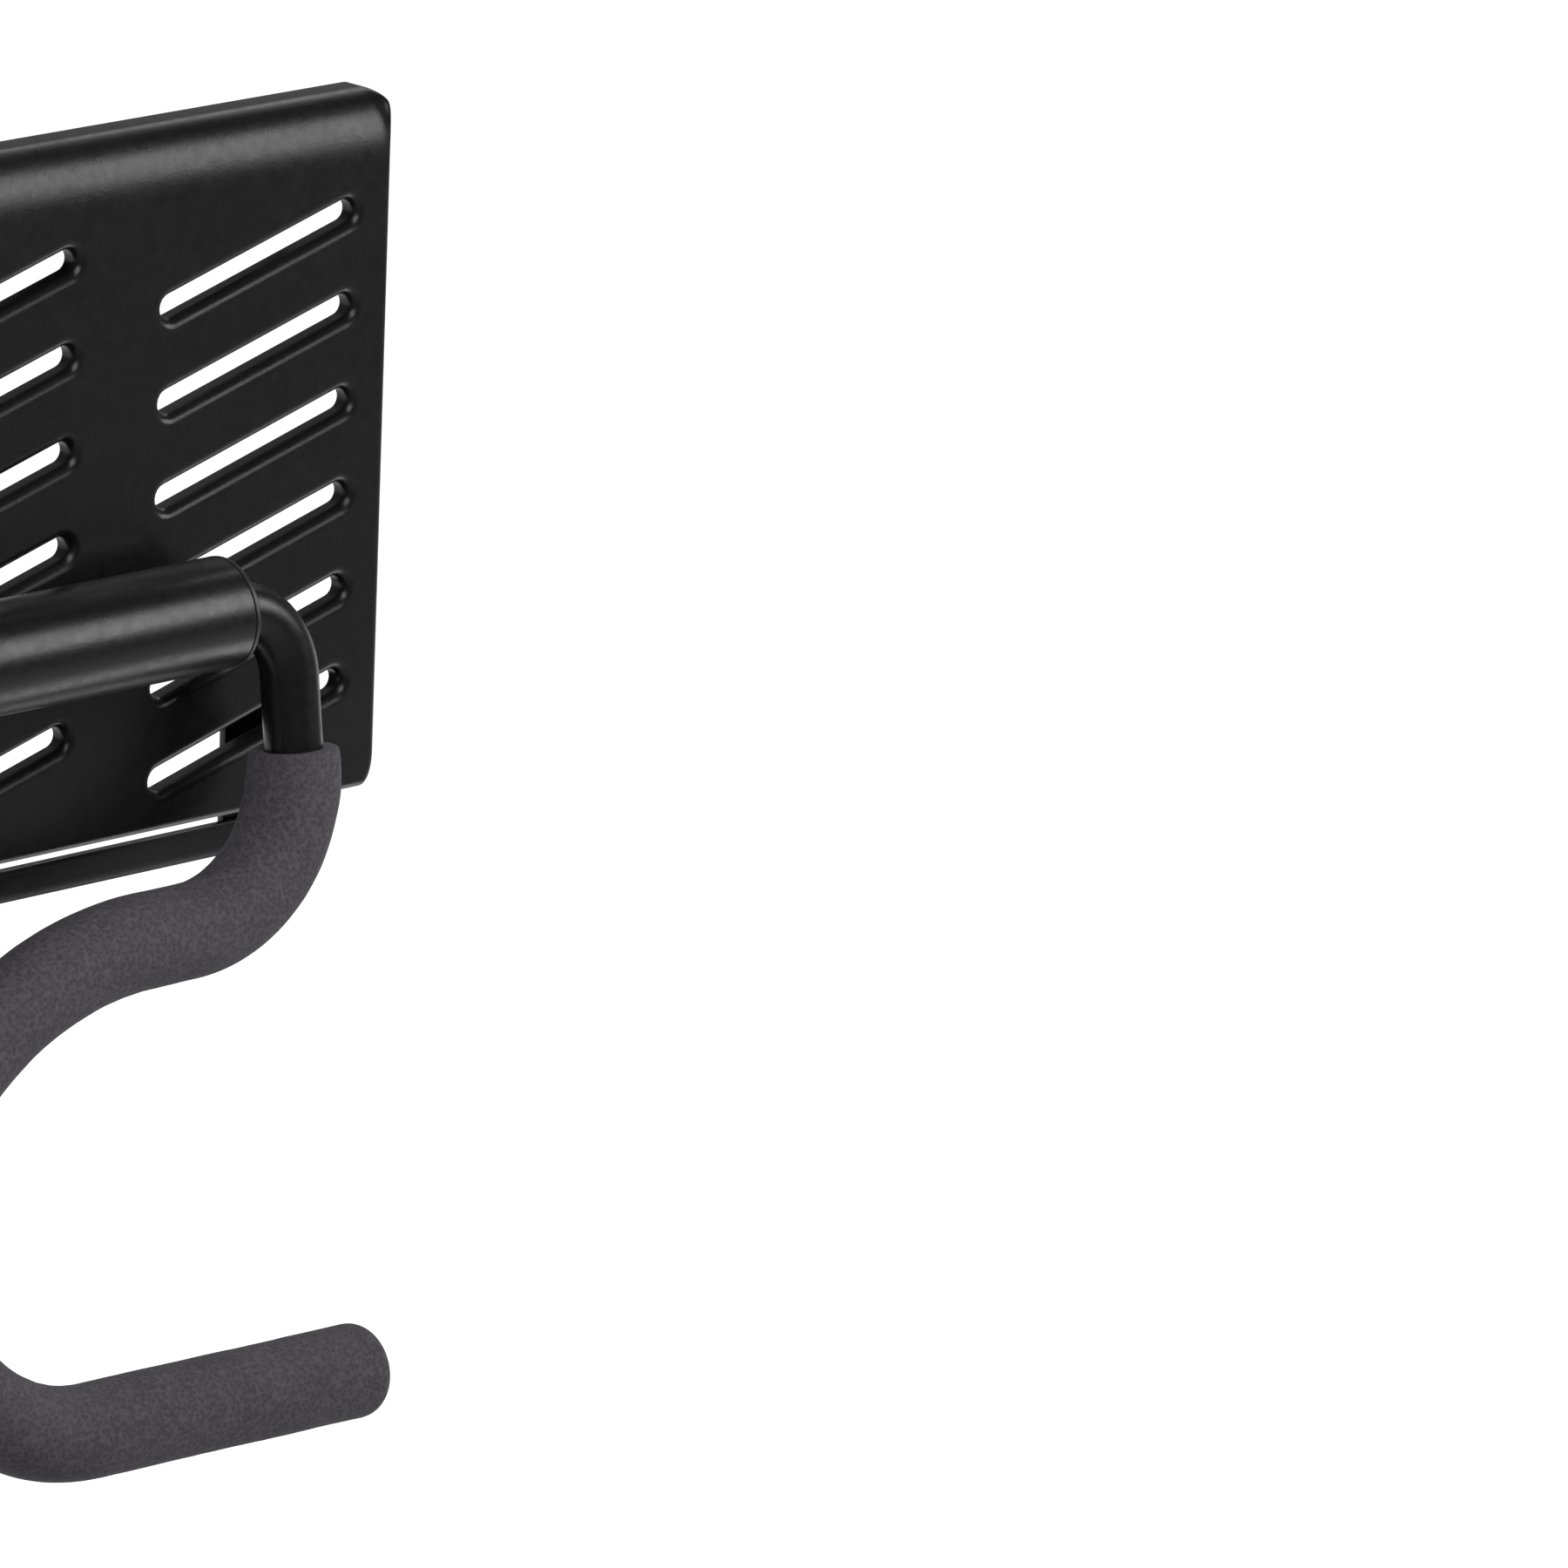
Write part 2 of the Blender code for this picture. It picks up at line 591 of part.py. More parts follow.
def hook_stations(side):
    """(point, heading) along the hook from the stub's inner end, with the hook hanging in XZ."""
    x, z = STUB_END_X, 0.0
    heading = 0.0
    stations = [((x, z), heading)]
    x = LEG_X - SHOULDER_RADIUS
    stations.append(((x, z), heading))
    for move in hook_moves():
        if move[0] == "run":
            x += move[1] * cos(heading)
            z -= move[1] * sin(heading)
            stations.append(((x, z), heading))
            continue
        _, radius, sweep, steps = move
        turn = 1 if sweep > 0 else -1
        center_x = x - turn * radius * sin(heading)
        center_z = z - turn * radius * cos(heading)
        for step in range(1, steps + 1):
            now = heading + sweep * step / steps
            stations.append(
                ((center_x + turn * radius * sin(now), center_z + turn * radius * cos(now)), now)
            )
        heading += sweep
        (x, z), _ = stations[-1]
    return [((side * px, pz), heading_at) for (px, pz), heading_at in stations]


def ring_at(station, radius, side, sides=ARM_SIDES):
    """A ring of points square to the hook's centre line."""
    (x, z), heading = station
    normal_x, normal_z = side * sin(heading), cos(heading)
    points = []
    for i in range(sides):
        a = 2 * pi * i / sides
        points.append((x + radius * cos(a) * normal_x, radius * sin(a), z + radius * cos(a) * normal_z))
    return points


def moved_on(station, distance, side):
    """The station a distance further along the centre line."""
    (x, z), heading = station
    return ((x + side * distance * cos(heading), z - distance * sin(heading)), heading)


def hook_axis(name):
    """An empty on the tube's axis, leaning as the hook does. Everything that swings hangs on it."""
    axis = bpy.data.objects.new(name, None)
    axis.empty_display_size = 0.03
    axis.location = (0, TUBE_AXIS_Y, TUBE_AXIS_Z)
    axis.rotation_euler = (-HOOK_LEAN, 0, 0)
    bpy.context.scene.collection.objects.link(axis)
    return axis


def make_arm(side_name, side, axis, material):
    stations = hook_stations(side)
    outer = [ring_at(station, ARM_RADIUS, side) for station in stations]
    inner = [ring_at(station, ARM_RADIUS - ARM_WALL, side) for station in stations]
    name = "arm_tube_" + side_name
    arm = add_object(name, loft_mesh(name, outer + inner[::-1], closed=True), material, radians(40))
    arm.parent = axis


def make_foam(side_name, side, axis, material):
    """A foam sleeve from below the shoulder to the peg's tip, where it is closed and rounded."""
    stations = hook_stations(side)
    bare = 2 + SHOULDER_STEPS  # both ends of the stub and the shoulder's steps
    covered = stations[bare:]
    tip = moved_on(covered[-1], FOAM_TIP, side)
    bore = ARM_RADIUS + GAP
    rings = [ring_at(station, bore, side) for station in covered[::-1]]
    rings = [ring_at(moved_on(covered[-1], GAP, side), bore, side)] + rings[1:]
    rings += [ring_at(covered[0], FOAM_RIM_RADIUS, side)]
    rings += [ring_at(station, FOAM_RADIUS, side) for station in covered[1:-1]]
    for turn in (0, 30, 60, 90):
        shrink = FOAM_TIP_ROUND * (1 - cos(radians(turn)))
        back = FOAM_TIP_ROUND * (1 - sin(radians(turn)))
        rings.append(ring_at(moved_on(tip, -back, side), FOAM_RADIUS - shrink, side))
    name = "foam_sleeve_" + side_name
    foam = add_object(name, loft_mesh(name, rings), material, radians(50))
    foam.parent = axis


def make_tip_plug(side_name, side, axis, material):
    """A plastic plug in the arm's end, inside the foam."""
    end = moved_on(hook_stations(side)[-1], -PLUG_LIP - GAP, side)
    start = moved_on(end, -PLUG_LENGTH, side)
    radius = ARM_RADIUS - ARM_WALL - GAP
    name = "tip_plug_" + side_name
    mesh = loft_mesh(name, [ring_at(start, radius, side), ring_at(end, radius, side)])
    plug = add_object(name, mesh, material)
    plug.parent = axis


def place_on_axis(obj, axis, side, x):
    """Puts a turned piece on the tube's axis, with its own +X outboard."""
    obj.parent = axis
    obj.location = (side * x, 0, 0)
    obj.rotation_euler = (0, 0, 0 if side > 0 else pi)


def sector_mesh(name, start_x, end_x, inner, outer, start_angle, end_angle, steps):
    """A piece of a thick ring about X, between two angles measured from -Z towards -Y."""
    def point(radius, angle):
        return (-radius * sin(angle), -radius * cos(angle))

    turns = [start_angle + (end_angle - start_angle) * i / steps for i in range(steps + 1)]
    outline = [point(outer, a) for a in turns] + [point(inner, a) for a in turns[::-1]]
    return loft_mesh(name, [[(x, y, z) for y, z in outline] for x in (start_x, end_x)])


def make_stop_washer(side_name, side, axis, material):
    """A washer on the stub's inner end. Its finger runs in the guide bush's notch and limits the swing."""
    name = "stop_washer_" + side_name
    hole = BOLT_RADIUS + GAP
    thickness = STOP_WASHER_THICKNESS
    outline = ((0, hole), (0, STOP_WASHER_RADIUS), (-thickness, STOP_WASHER_RADIUS), (-thickness, hole))
    washer = add_object(name, turned_mesh(name, outline), material, radians(40))
    place_on_axis(washer, axis, side, STUB_END_X - GAP)

    far_x = side * (STUB_END_X - GAP + FINGER_LENGTH)
    near_x = side * (STUB_END_X - GAP - thickness / 2)
    limits = (FINGER_INNER_RADIUS, STOP_WASHER_RADIUS - 0.0002, -FINGER_HALF_ANGLE, FINGER_HALF_ANGLE, 3)
    finger = guide(name + "_finger", sector_mesh(name + "_finger", near_x, far_x, *limits))
    finger.parent = axis
    boolean(washer, finger, "UNION")


def make_guide_bush(side_name, side, material):
    """A bush that slides in the tube with the arm and doesn't turn. Its notch is as wide as the swing."""
    name = "guide_bush_" + side_name
    start = STUB_END_X + 2 * GAP
    bore = ARM_RADIUS + 2 * GAP
    outline = ((0, BUSH_RADIUS), (GUIDE_LENGTH, BUSH_RADIUS), (GUIDE_LENGTH, bore), (0, bore))
    bush = add_object(name, turned_mesh(name, outline), material, radians(40))
    bush.location = (side * start, TUBE_AXIS_Y, TUBE_AXIS_Z)
    bush.rotation_euler = (0, 0, 0 if side > 0 else pi)

    low = HOOK_LEAN - FINGER_HALF_ANGLE - NOTCH_CLEARANCE
    high = HOOK_LEAN + SWING + FINGER_HALF_ANGLE + NOTCH_CLEARANCE
    ends = (side * (start - 0.004), side * (start + NOTCH_DEPTH + 0.001))
    limits = (NOTCH_INNER_RADIUS, BUSH_RADIUS + 0.004, low, high, 10)
    notch = guide(name + "_notch", sector_mesh(name + "_notch", *ends, *limits))
    notch.location = (0, TUBE_AXIS_Y, TUBE_AXIS_Z)
    boolean(bush, notch)


def make_stub_parts(side_name, side, axis, steel):
    """A threaded insert in the stub, the bolt that holds the stop washer on it, and the retaining ring."""
    bolt_hole = BOLT_RADIUS + GAP
    insert_radius = ARM_RADIUS - ARM_WALL - 2 * GAP
    insert_outline = (
        (0, bolt_hole),
        (0, insert_radius),
        (INSERT_LENGTH, insert_radius),
        (INSERT_LENGTH, bolt_hole),
    )
    name = "stub_insert_" + side_name
    insert = add_object(name, turned_mesh(name, insert_outline[::-1], ARM_SIDES), steel, radians(40))
    place_on_axis(insert, axis, side, STUB_END_X + GAP)

    head_x = STUB_END_X - 2 * GAP - STOP_WASHER_THICKNESS
    outline = bolt_outline(BOLT_HEAD_RADIUS, BOLT_HEAD_HEIGHT, BOLT_RADIUS, INSERT_LENGTH * 0.8)
    name = "stop_bolt_" + side_name
    bolt = add_object(name, turned_mesh(name, outline, SMALL_STEPS), steel, radians(40))
    place_on_axis(bolt, axis, side, head_x)

    bore = ARM_RADIUS + GAP
    ring_outline = ((0, RING_RADIUS), (RING_THICKNESS, RING_RADIUS), (RING_THICKNESS, bore), (0, bore))
    name = "retaining_ring_" + side_name
    ring = add_object(name, turned_mesh(name, ring_outline, 2 * ARM_SIDES), steel, radians(40))
    place_on_axis(ring, axis, side, STUB_END_X + GUIDE_LENGTH + 4 * GAP)


# Lock knobs


def make_knob_boss(side_name, side, material):
    """A threaded boss under the tube, hollowed on top to the tube's round."""
    name = "knob_boss_" + side_name
    top = TUBE_AXIS_Z - TUBE_RADIUS + 0.002
    start = (side * KNOB_X, TUBE_AXIS_Y, top)
    mesh = cylinder_mesh(name, start, (0, 0, -1), BOSS_RADIUS, BOSS_HEIGHT + 0.002)
    boss = add_object(name, mesh, material, radians(40))
    drill(boss, name + "_bore", [(start[0], start[1], top + 0.004)], (0, 0, -1), STUD_RADIUS + GAP, 0.020)
    start_x = side * KNOB_X - 0.02
    tube_start = (start_x, TUBE_AXIS_Y, TUBE_AXIS_Z)
    relief = cylinder_mesh(name + "_relief", tube_start, (1, 0, 0), TUBE_RADIUS + GAP, 0.04, 40)
    boolean(boss, guide(name + "_relief", relief))


def knob_outline():
    points = []
    steps = KNOB_LOBES * 6
    for i in range(steps):
        a = 2 * pi * i / steps
        radius = KNOB_RADIUS + KNOB_LOBE_DEPTH * cos(KNOB_LOBES * a)
        points.append((radius * cos(a), radius * sin(a)))
    return points


def make_knob(side_name, side, plastic, steel):
    """A lobed knob on a stud that clamps the arm's stub. Both turn about the empty on the stud's axis."""
    stud_top = TUBE_AXIS_Z - ARM_RADIUS - GAP
    knob_top = TUBE_AXIS_Z - TUBE_RADIUS - BOSS_HEIGHT - 0.002
    turn_axis = bpy.data.objects.new("knob_axis_" + side_name, None)
    turn_axis.empty_display_size = 0.02
    turn_axis.location = (side * KNOB_X, TUBE_AXIS_Y, knob_top)
    bpy.context.scene.collection.objects.link(turn_axis)

    name = "lock_knob_" + side_name
    edge = 0.0015
    rings = []
    for z, inset in ((0, edge), (-edge, 0), (edge - KNOB_HEIGHT, 0), (-KNOB_HEIGHT, edge)):
        scale = 1 - inset / KNOB_RADIUS
        rings.append([(x * scale, y * scale, z) for x, y in knob_outline()])
    knob = add_object(name, loft_mesh(name, rings), plastic, radians(35))
    knob.parent = turn_axis
    bore_size = (STUD_RADIUS + GAP, KNOB_BORE_DEPTH + 0.002)
    bore = cylinder_mesh(name + "_bore", (0, 0, 0.002), (0, 0, -1), *bore_size)
    cutter = guide(name + "_bore", bore)
    cutter.parent = turn_axis
    boolean(knob, cutter)

    name = "lock_stud_" + side_name
    stud_length = stud_top - knob_top + KNOB_BORE_DEPTH - GAP
    stud_start = (0, 0, stud_top - knob_top)
    mesh = cylinder_mesh(name, stud_start, (0, 0, -1), STUD_RADIUS, stud_length)
    stud = add_object(name, mesh, steel, radians(40))
    stud.parent = turn_axis


def build():
    clear_scene()
    materials = make_materials()
    coat, foam = materials["powder_coat"], materials["foam"]
    zinc, nylon = materials["zinc"], materials["nylon"]

    make_panel(coat)
    make_upper_rail(coat)
    make_lower_bar(coat)
    make_rivets(zinc)
    make_tube(coat)
    make_end_bushes(nylon)
    make_straps(coat, nylon)
    make_strap_bolts(zinc)
    make_panel_screws(zinc)
    for side_name, side in SIDES:
        make_upright(side_name, side, coat)
        axis = hook_axis("hook_axis_" + side_name)
        make_arm(side_name, side, axis, coat)
        make_foam(side_name, side, axis, foam)
        make_tip_plug(side_name, side, axis, nylon)
        make_stop_washer(side_name, side, axis, zinc)
        make_guide_bush(side_name, side, nylon)
        make_stub_parts(side_name, side, axis, zinc)
        make_knob_boss(side_name, side, zinc)
        make_knob(side_name, side, nylon, zinc)


build()
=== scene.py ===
"""The looks of the bicycle wall rack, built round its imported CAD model.

Metres, +Z up. The wall is the plane Y = 0, the rack stands out of it along -Y, and X = 0 is the middle.
Outlines are in (x, radius) for turned pieces, and in two axes of the rack for extruded ones.
"""

import json
from math import ceil, cos, pi, radians, sin, tan

import bmesh
import bpy
from mathutils import Matrix, Vector, noise


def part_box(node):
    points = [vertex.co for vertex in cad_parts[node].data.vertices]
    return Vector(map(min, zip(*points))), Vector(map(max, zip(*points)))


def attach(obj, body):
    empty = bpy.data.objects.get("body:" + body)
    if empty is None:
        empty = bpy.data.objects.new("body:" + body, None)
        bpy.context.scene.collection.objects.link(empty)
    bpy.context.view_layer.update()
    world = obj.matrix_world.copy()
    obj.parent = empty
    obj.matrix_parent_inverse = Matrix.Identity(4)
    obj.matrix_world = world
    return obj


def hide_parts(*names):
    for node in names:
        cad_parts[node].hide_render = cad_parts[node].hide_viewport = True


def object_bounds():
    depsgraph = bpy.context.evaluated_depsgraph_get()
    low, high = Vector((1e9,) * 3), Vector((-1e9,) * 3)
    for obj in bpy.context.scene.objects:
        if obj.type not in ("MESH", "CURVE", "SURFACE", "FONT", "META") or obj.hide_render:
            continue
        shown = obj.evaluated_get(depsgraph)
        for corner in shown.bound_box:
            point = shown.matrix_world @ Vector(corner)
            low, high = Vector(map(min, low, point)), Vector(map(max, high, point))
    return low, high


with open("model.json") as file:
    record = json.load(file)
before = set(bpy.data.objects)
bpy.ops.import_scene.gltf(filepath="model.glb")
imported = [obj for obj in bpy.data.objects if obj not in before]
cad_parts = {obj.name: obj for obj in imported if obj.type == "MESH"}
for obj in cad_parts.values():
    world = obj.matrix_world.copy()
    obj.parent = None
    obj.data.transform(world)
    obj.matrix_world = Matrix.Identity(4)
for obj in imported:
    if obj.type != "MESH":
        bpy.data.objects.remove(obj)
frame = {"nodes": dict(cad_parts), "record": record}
cad_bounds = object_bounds()
for packed in list(bpy.data.materials):
    bpy.data.materials.remove(packed)  # every piece gets a new material, under the same names

# Panel
PANEL_LOW, PANEL_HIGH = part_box("back_panel")
PANEL_SHEET = 0.0018
SIDE_EDGE_BEND = 0.004
TOP_EDGE_BEND = (0.0136, 0.024)  # as (depth, height)
BOTTOM_EDGE_BEND = (0.0028, 0.0028)
TOP_CORNERS = ((0.003, 0.007), (0.006, 0.005))  # as (across, up), where the bends start and where they end
BOTTOM_CORNERS = ((0.003, 0.009), (0.0065, 0.0115))
MIN_CORNER = 0.0003
CORNER_STEPS = 10
BEND_STEPS = 10
FLAT_STRIP = 0.0004  # a narrow flat ring beside each bend, so that the bend's shading ends there

# Slots, each with a collar that turns back into the panel
SLOT_COLUMNS = 5
SLOT_ROWS = 6
COLUMN_PITCH = 0.1244
ROW_PITCH = 0.03268
TOP_ROW_Z = PANEL_LOW.z + 0.1918
COLUMNS_OFF_CENTER = 0.0006
SLOT_LENGTH = 0.0891
SLOT_WIDTH = 0.00825
SLOT_ANGLE = radians(15.6)
SLOT_END_STEPS = 10
COLLAR_BEND = 0.0038
COLLAR_DEPTH = 0.0078
COLLAR_SHEET = 0.0013
COLLAR_EDGE = 0.0003

# Cross tube
TUBE_LOW, TUBE_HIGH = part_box("cross_tube")
TUBE_RADIUS = (TUBE_HIGH.z - TUBE_LOW.z) / 2
TUBE_WALL = 0.002
SHEET_EDGE = 0.0004  # rounding of cut rims on the tube, the straps and the rails
RIM_BEVEL = 0.0003  # of an extruded piece, and less than its corner radii so that no edge closes up
TUBE_Y = (TUBE_LOW.y + TUBE_HIGH.y) / 2
TUBE_Z = (TUBE_LOW.z + TUBE_HIGH.z) / 2
STUD_HOLE_RADIUS = 0.0046
STUD_HOLE_DROP = 0.012  # the drill's start below the tube's axis, and its length
BUSH_FLANGE = 0.002
BUSH_GAP = 0.0004
BUSH_ROUNDS = (0.0003, 0.0006, 0.0014, 0.0002, 0.0001, 0.0005)
ROUND_STEPS = 96

# Straps, bolts and screws
STRAP_SHEET = 0.0025
STRAP_BEND = 0.002
STRAP_STEPS = 40
SEAT_STEPS = 16
BOLT_RADIUS = 0.003
BOLT_SOCKET = 0.0023
SCREW_RADIUS = 0.0020
SCREW_HEAD = 0.0018
SCREW_SOCKET = 0.0013
NUT_FLAT = 0.0050
NUT_FACE = NUT_FLAT * 0.96
NUT_CHAMFER = 0.0004
CROWN_FOOT = 0.25  # of a bolt head's height, where its crown starts
CROWN_FLAT = 0.5  # of a bolt head's radius
SOCKET_FLOOR = 0.38  # of a bolt head's height
SOCKET_TIP = 0.6  # of the height of the socket's floor
SOCKET_MOUTH = (0.93, 1.16)  # as (of the head's height, of the socket's width)
HEAD_UNDERSIDE = (0.0001, 0.97)  # as (height, of the head's radius)
THREAD_PITCH = 0.001
THREAD_DEPTH = 0.0005
THREAD_FORM = ((0.45, 1), (0.55, 1), (0.95, 0), (1, 0))  # as (of the pitch, of the depth)
THREAD_START = 0.001  # plain shank under a bolt's head
FASTENER_SIDES = 48
HOLE_GAP = 0.0003
HOLE_LEAD = 0.004  # a short drill's start outside the sheet that it goes through
SHORT_DRILL = 0.010

# Wall rails
RAIL_SHEET = 0.003
RAIL_BEND = 0.0036
RAIL_CORNER = 0.003
WALL_HOLE_RADIUS = 0.0033
UPPER_HOLE_XS = (-0.203, -0.100, 0.100, 0.203)
UPPER_HOLE_Z = -0.003
UPRIGHT_HOLE_DROP = 0.012
UPRIGHT_TAB_INSET = 0.003
UPRIGHT_TAB_CORNER = 0.001
WALL_DRILL_Y = -0.02
WALL_DRILL = 0.03
RIVET_RADIUS = 0.002
RIVET_HEAD = 0.0015
RIVET_DOME = 0.9  # of the head's height
RIVET_STEPS = 8
RIVET_SIDES = 32

# Lock knobs
STUD_RADIUS = 0.004
KNOB_LOBES = 5
KNOB_LOBE_DEPTH = 0.0018
KNOB_LOBE_START = 0.7  # of the knob's reach, from where its lobes grow to the rim
KNOB_DISH = 0.0012
KNOB_HUB = 0.2  # of the dish's depth
KNOB_FACE = (0.62, 0.56, 0.34, 0.30)  # of the knob's reach: the rim's inside, the dish and the hub
KNOB_ROUNDS = (0.0002, 0.0004, 0.0018, 0.0026, 0.0006, 0.0006, 0.0006, 0.0008)
KNOB_ROUND_STEPS = 6
KNOB_SIDES = 150
BOSS_ROUNDS = (0.0005, 0, 0, 0.0009)
BOSS_LEAD = 0.001  # the boss reaches this far into the tube before it is hollowed
BOSS_DRILL = 0.04

# Hooks
HOOK_LEAN = radians(7.2)
LEG_X = PANEL_HIGH.x - 0.0639
ARM_RADIUS = 0.010
ARM_WALL = 0.002
STUB_END_X = 0.018
SHOULDER_RADIUS = 0.026
LEG_END = 0.0525
SLEEVE_START = 0.051
KNEE_RADIUS = 0.052
SHELF_RUN = 0.0196
BACK_RADIUS = 0.135
BACK_SWEEP = radians(36.6)
BELLY_RADIUS = 0.074
PEG_DROOP = radians(1.2)
BELLY_SWEEP = pi - BACK_SWEEP - PEG_DROOP
PEG_LENGTH = 0.119
ARM_STEP = 0.003
ARM_SIDES = 48

# Foam sleeves
FOAM_START = SHOULDER_RADIUS * pi / 2 + SLEEVE_START - SHOULDER_RADIUS  # along the line from the shoulder
FOAM_RADIUS = 0.0162
FOAM_RIM_RADIUS = 0.0153
FOAM_RIM_TAPER = 0.016
FOAM_RIM_ROUND = 0.0013
FOAM_TIP = 0.007
FOAM_TIP_ROUND = 0.0065
FOAM_SWELLS = ((0.00022, 38), (0.00008, 150))  # as (height, waves of noise in a metre)
FOAM_PUCKER = 0.00016
FOAM_PUCKER_WAVES = 170
FOAM_PUCKER_TURN = 1.3
FOAM_PUCKER_SEED = 4.0
FOAM_STEP = 0.0015
FOAM_RIM_STEPS = 4
FOAM_TIP_STEPS = 12
FOAM_SIDES = 72

SIDES = (("left", -1), ("right", 1))

# Camera and stage
CAMERA_AZIMUTH = radians(44.71)
CAMERA_ELEVATION = radians(15.53)
CAMERA_ROLL = radians(2.175)
CAMERA_DISTANCE = 5.0375
CAMERA_LENS = 330.2
CAMERA_TARGET = Vector((PANEL_HIGH.x + 0.19525, PANEL_LOW.y, PANEL_HIGH.z - 0.2746))
FLOOR_DROP = 0.45
FLOOR_RADIUS = 30.0
# painted light: the floor's glow strength, and the depths over which it rises
FLOOR_GLOW = (0.10, 0.95)
FLOOR_GLOW_Y = (-0.05, 0.45)
ROOM_GLOW = (0.10, 0.34)
ROOM_GLOW_Y = (0.0, 0.9)
LIGHTS = (  # as (name, direction, distance, size, power)
    ("key", (0.68, -0.60, 0.35), 2.6, (1.6, 1.15), 41),
    ("rear", (0.68, 0.36, 0.64), 3.0, (1.2, 0.9), 9),
    ("overhead", (0.1, 0.2, 1.0), 3.2, (1.6, 1.6), 16),
    ("front", (-0.52, -0.66, 0.60), 1.3, (0.89, 0.73), 12),
    ("low", (0.46, -0.135, -0.633), 0.80, (0.27, 0.45), 1.15),
)


# Shapes


def skin(name, rings, closed=False):
    """A mesh through rings of points, capped at both ends unless the last ring meets the first.

    A ring may be a single point, which makes a cone to its neighbour.
    """
    bm = bmesh.new()
    loops = [[bm.verts.new(point) for point in ring] for ring in rings]
    pairs = list(zip(loops, loops[1:]))
    if closed:
        pairs.append((loops[-1], loops[0]))
    for loop_a, loop_b in pairs:
        count = max(len(loop_a), len(loop_b))
        for i in range(count):
            j = (i + 1) % count
            walk = ((loop_a, i), (loop_a, j), (loop_b, j), (loop_b, i))
            bm.faces.new(dict.fromkeys(loop[k % len(loop)] for loop, k in walk))
    if not closed:
        for loop in (loops[0], loops[-1]):
            if len(loop) > 2:
                bm.faces.new(loop)
    return finished(name, bm)


def finished(name, bm):
    """The mesh of a bmesh, which is used up."""
    bmesh.ops.recalc_face_normals(bm, faces=bm.faces)
    mesh = bpy.data.meshes.new(name)
    bm.to_mesh(mesh)
    bm.free()
    return mesh


def rounded(outline, radius, steps=4):
    """A closed 2-D outline with its corners turned to arcs, of one radius or of one for each corner."""
    corners = [Vector(corner) for corner in outline]
    radii = radius if hasattr(radius, "__len__") else [radius] * len(corners)
    result = []
    for i, corner in enumerate(corners):
        before = corners[i - 1] - corner
        after = corners[(i + 1) % len(corners)] - corner
        half_angle = before.angle(after) / 2
        reach = min(radii[i] / tan(half_angle), 0.49 * before.length, 0.49 * after.length)
        if radii[i] == 0 or half_angle > radians(85):
            result.append(corner)
            continue
        size = reach * tan(half_angle)
        before.normalize()
        after.normalize()
        center = corner + (before + after).normalized() * (size / sin(half_angle))
        first = corner + before * reach - center
        last = corner + after * reach - center
        result += [center + size * first.slerp(last, step / steps) for step in range(steps + 1)]
    return result


def turned(name, outline, steps=ROUND_STEPS, flats=()):
    """A round mesh about X through (x, radius) points. Those whose index is in flats make hexagons."""
    rings = []
    for i, (x, radius) in enumerate(outline):
        if radius < 1e-6:
            rings.append([(x, 0, 0)])
            continue
        ring = []
        for step in range(steps):
            a = 2 * pi * step / steps
            r = radius / cos((a + pi / 6) % (pi / 3) - pi / 6) if i in flats else radius
            ring.append((x, r * cos(a), r * sin(a)))
        rings.append(ring)
    open_ended = outline[0][1] < 1e-6 or outline[-1][1] < 1e-6
    return skin(name, rings, closed=not open_ended)


def extruded(name, outline, start, end, place):
    """A prism with softened rims. place(u, v, depth) takes the outline's points to the rack's axes."""
    bm = bmesh.new()
    loops = [[bm.verts.new(place(u, v, depth)) for u, v in outline] for depth in (start, end)]
    caps = [bm.faces.new(loop) for loop in loops]
    count = len(outline)
    for i in range(count):
        j = (i + 1) % count
        bm.faces.new((loops[0][i], loops[0][j], loops[1][j], loops[1][i]))
    bmesh.ops.recalc_face_normals(bm, faces=bm.faces)
    rims = list({rim for cap in caps for rim in cap.edges})
    bmesh.ops.bevel(
        bm, geom=rims, offset=RIM_BEVEL, segments=2, profile=0.5, affect="EDGES", clamp_overlap=True
    )
    return finished(name, bm)


def along(start, direction):
    """A matrix that takes a turned mesh's X axis to a line from start."""
    return Matrix.Translation(start) @ Vector(direction).to_track_quat("X", "Z").to_matrix().to_4x4()


def piece(name, mesh, material, body, *nodes, smooth=40):
    """Adds a visible piece that stands for CAD nodes and rides on a body."""
    mesh.shade_smooth()
    mesh.set_sharp_from_angle(angle=radians(smooth))
    obj = bpy.data.objects.new(name, mesh)
    bpy.context.scene.collection.objects.link(obj)
    mesh.materials.append(material)
    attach(obj, body)
    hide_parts(*nodes)
    return obj


def cut(mesh, tools, operation="DIFFERENCE"):
    """The mesh with every tool cut away from it, or joined to it. All are used up."""
    obj = bpy.data.objects.new("cut", mesh)
    bm = bmesh.new()
    for tool in tools:
        bm.from_mesh(tool)
        bpy.data.meshes.remove(tool)
    helper = bpy.data.objects.new("helper", finished("helper", bm))
    modifier = obj.modifiers.new("cut", "BOOLEAN")
    modifier.operation = operation
    modifier.solver = "EXACT"
    modifier.object = helper
    for part in (obj, helper):
        bpy.context.scene.collection.objects.link(part)
    bpy.context.view_layer.update()
    result = bpy.data.meshes.new_from_object(obj.evaluated_get(bpy.context.evaluated_depsgraph_get()))
    result.name = mesh.name
    for part in (obj, helper):
        used = part.data
        bpy.data.objects.remove(part)
        bpy.data.meshes.remove(used)
    return result


def drill(start, direction, radius, length, steps=32):
    """A round tool for cut(), from start along a direction."""
    mesh = turned("drill", ((0, 0), (0, radius), (length, radius), (length, 0)), steps)
    mesh.transform(along(start, direction))
    return mesh


# Panel


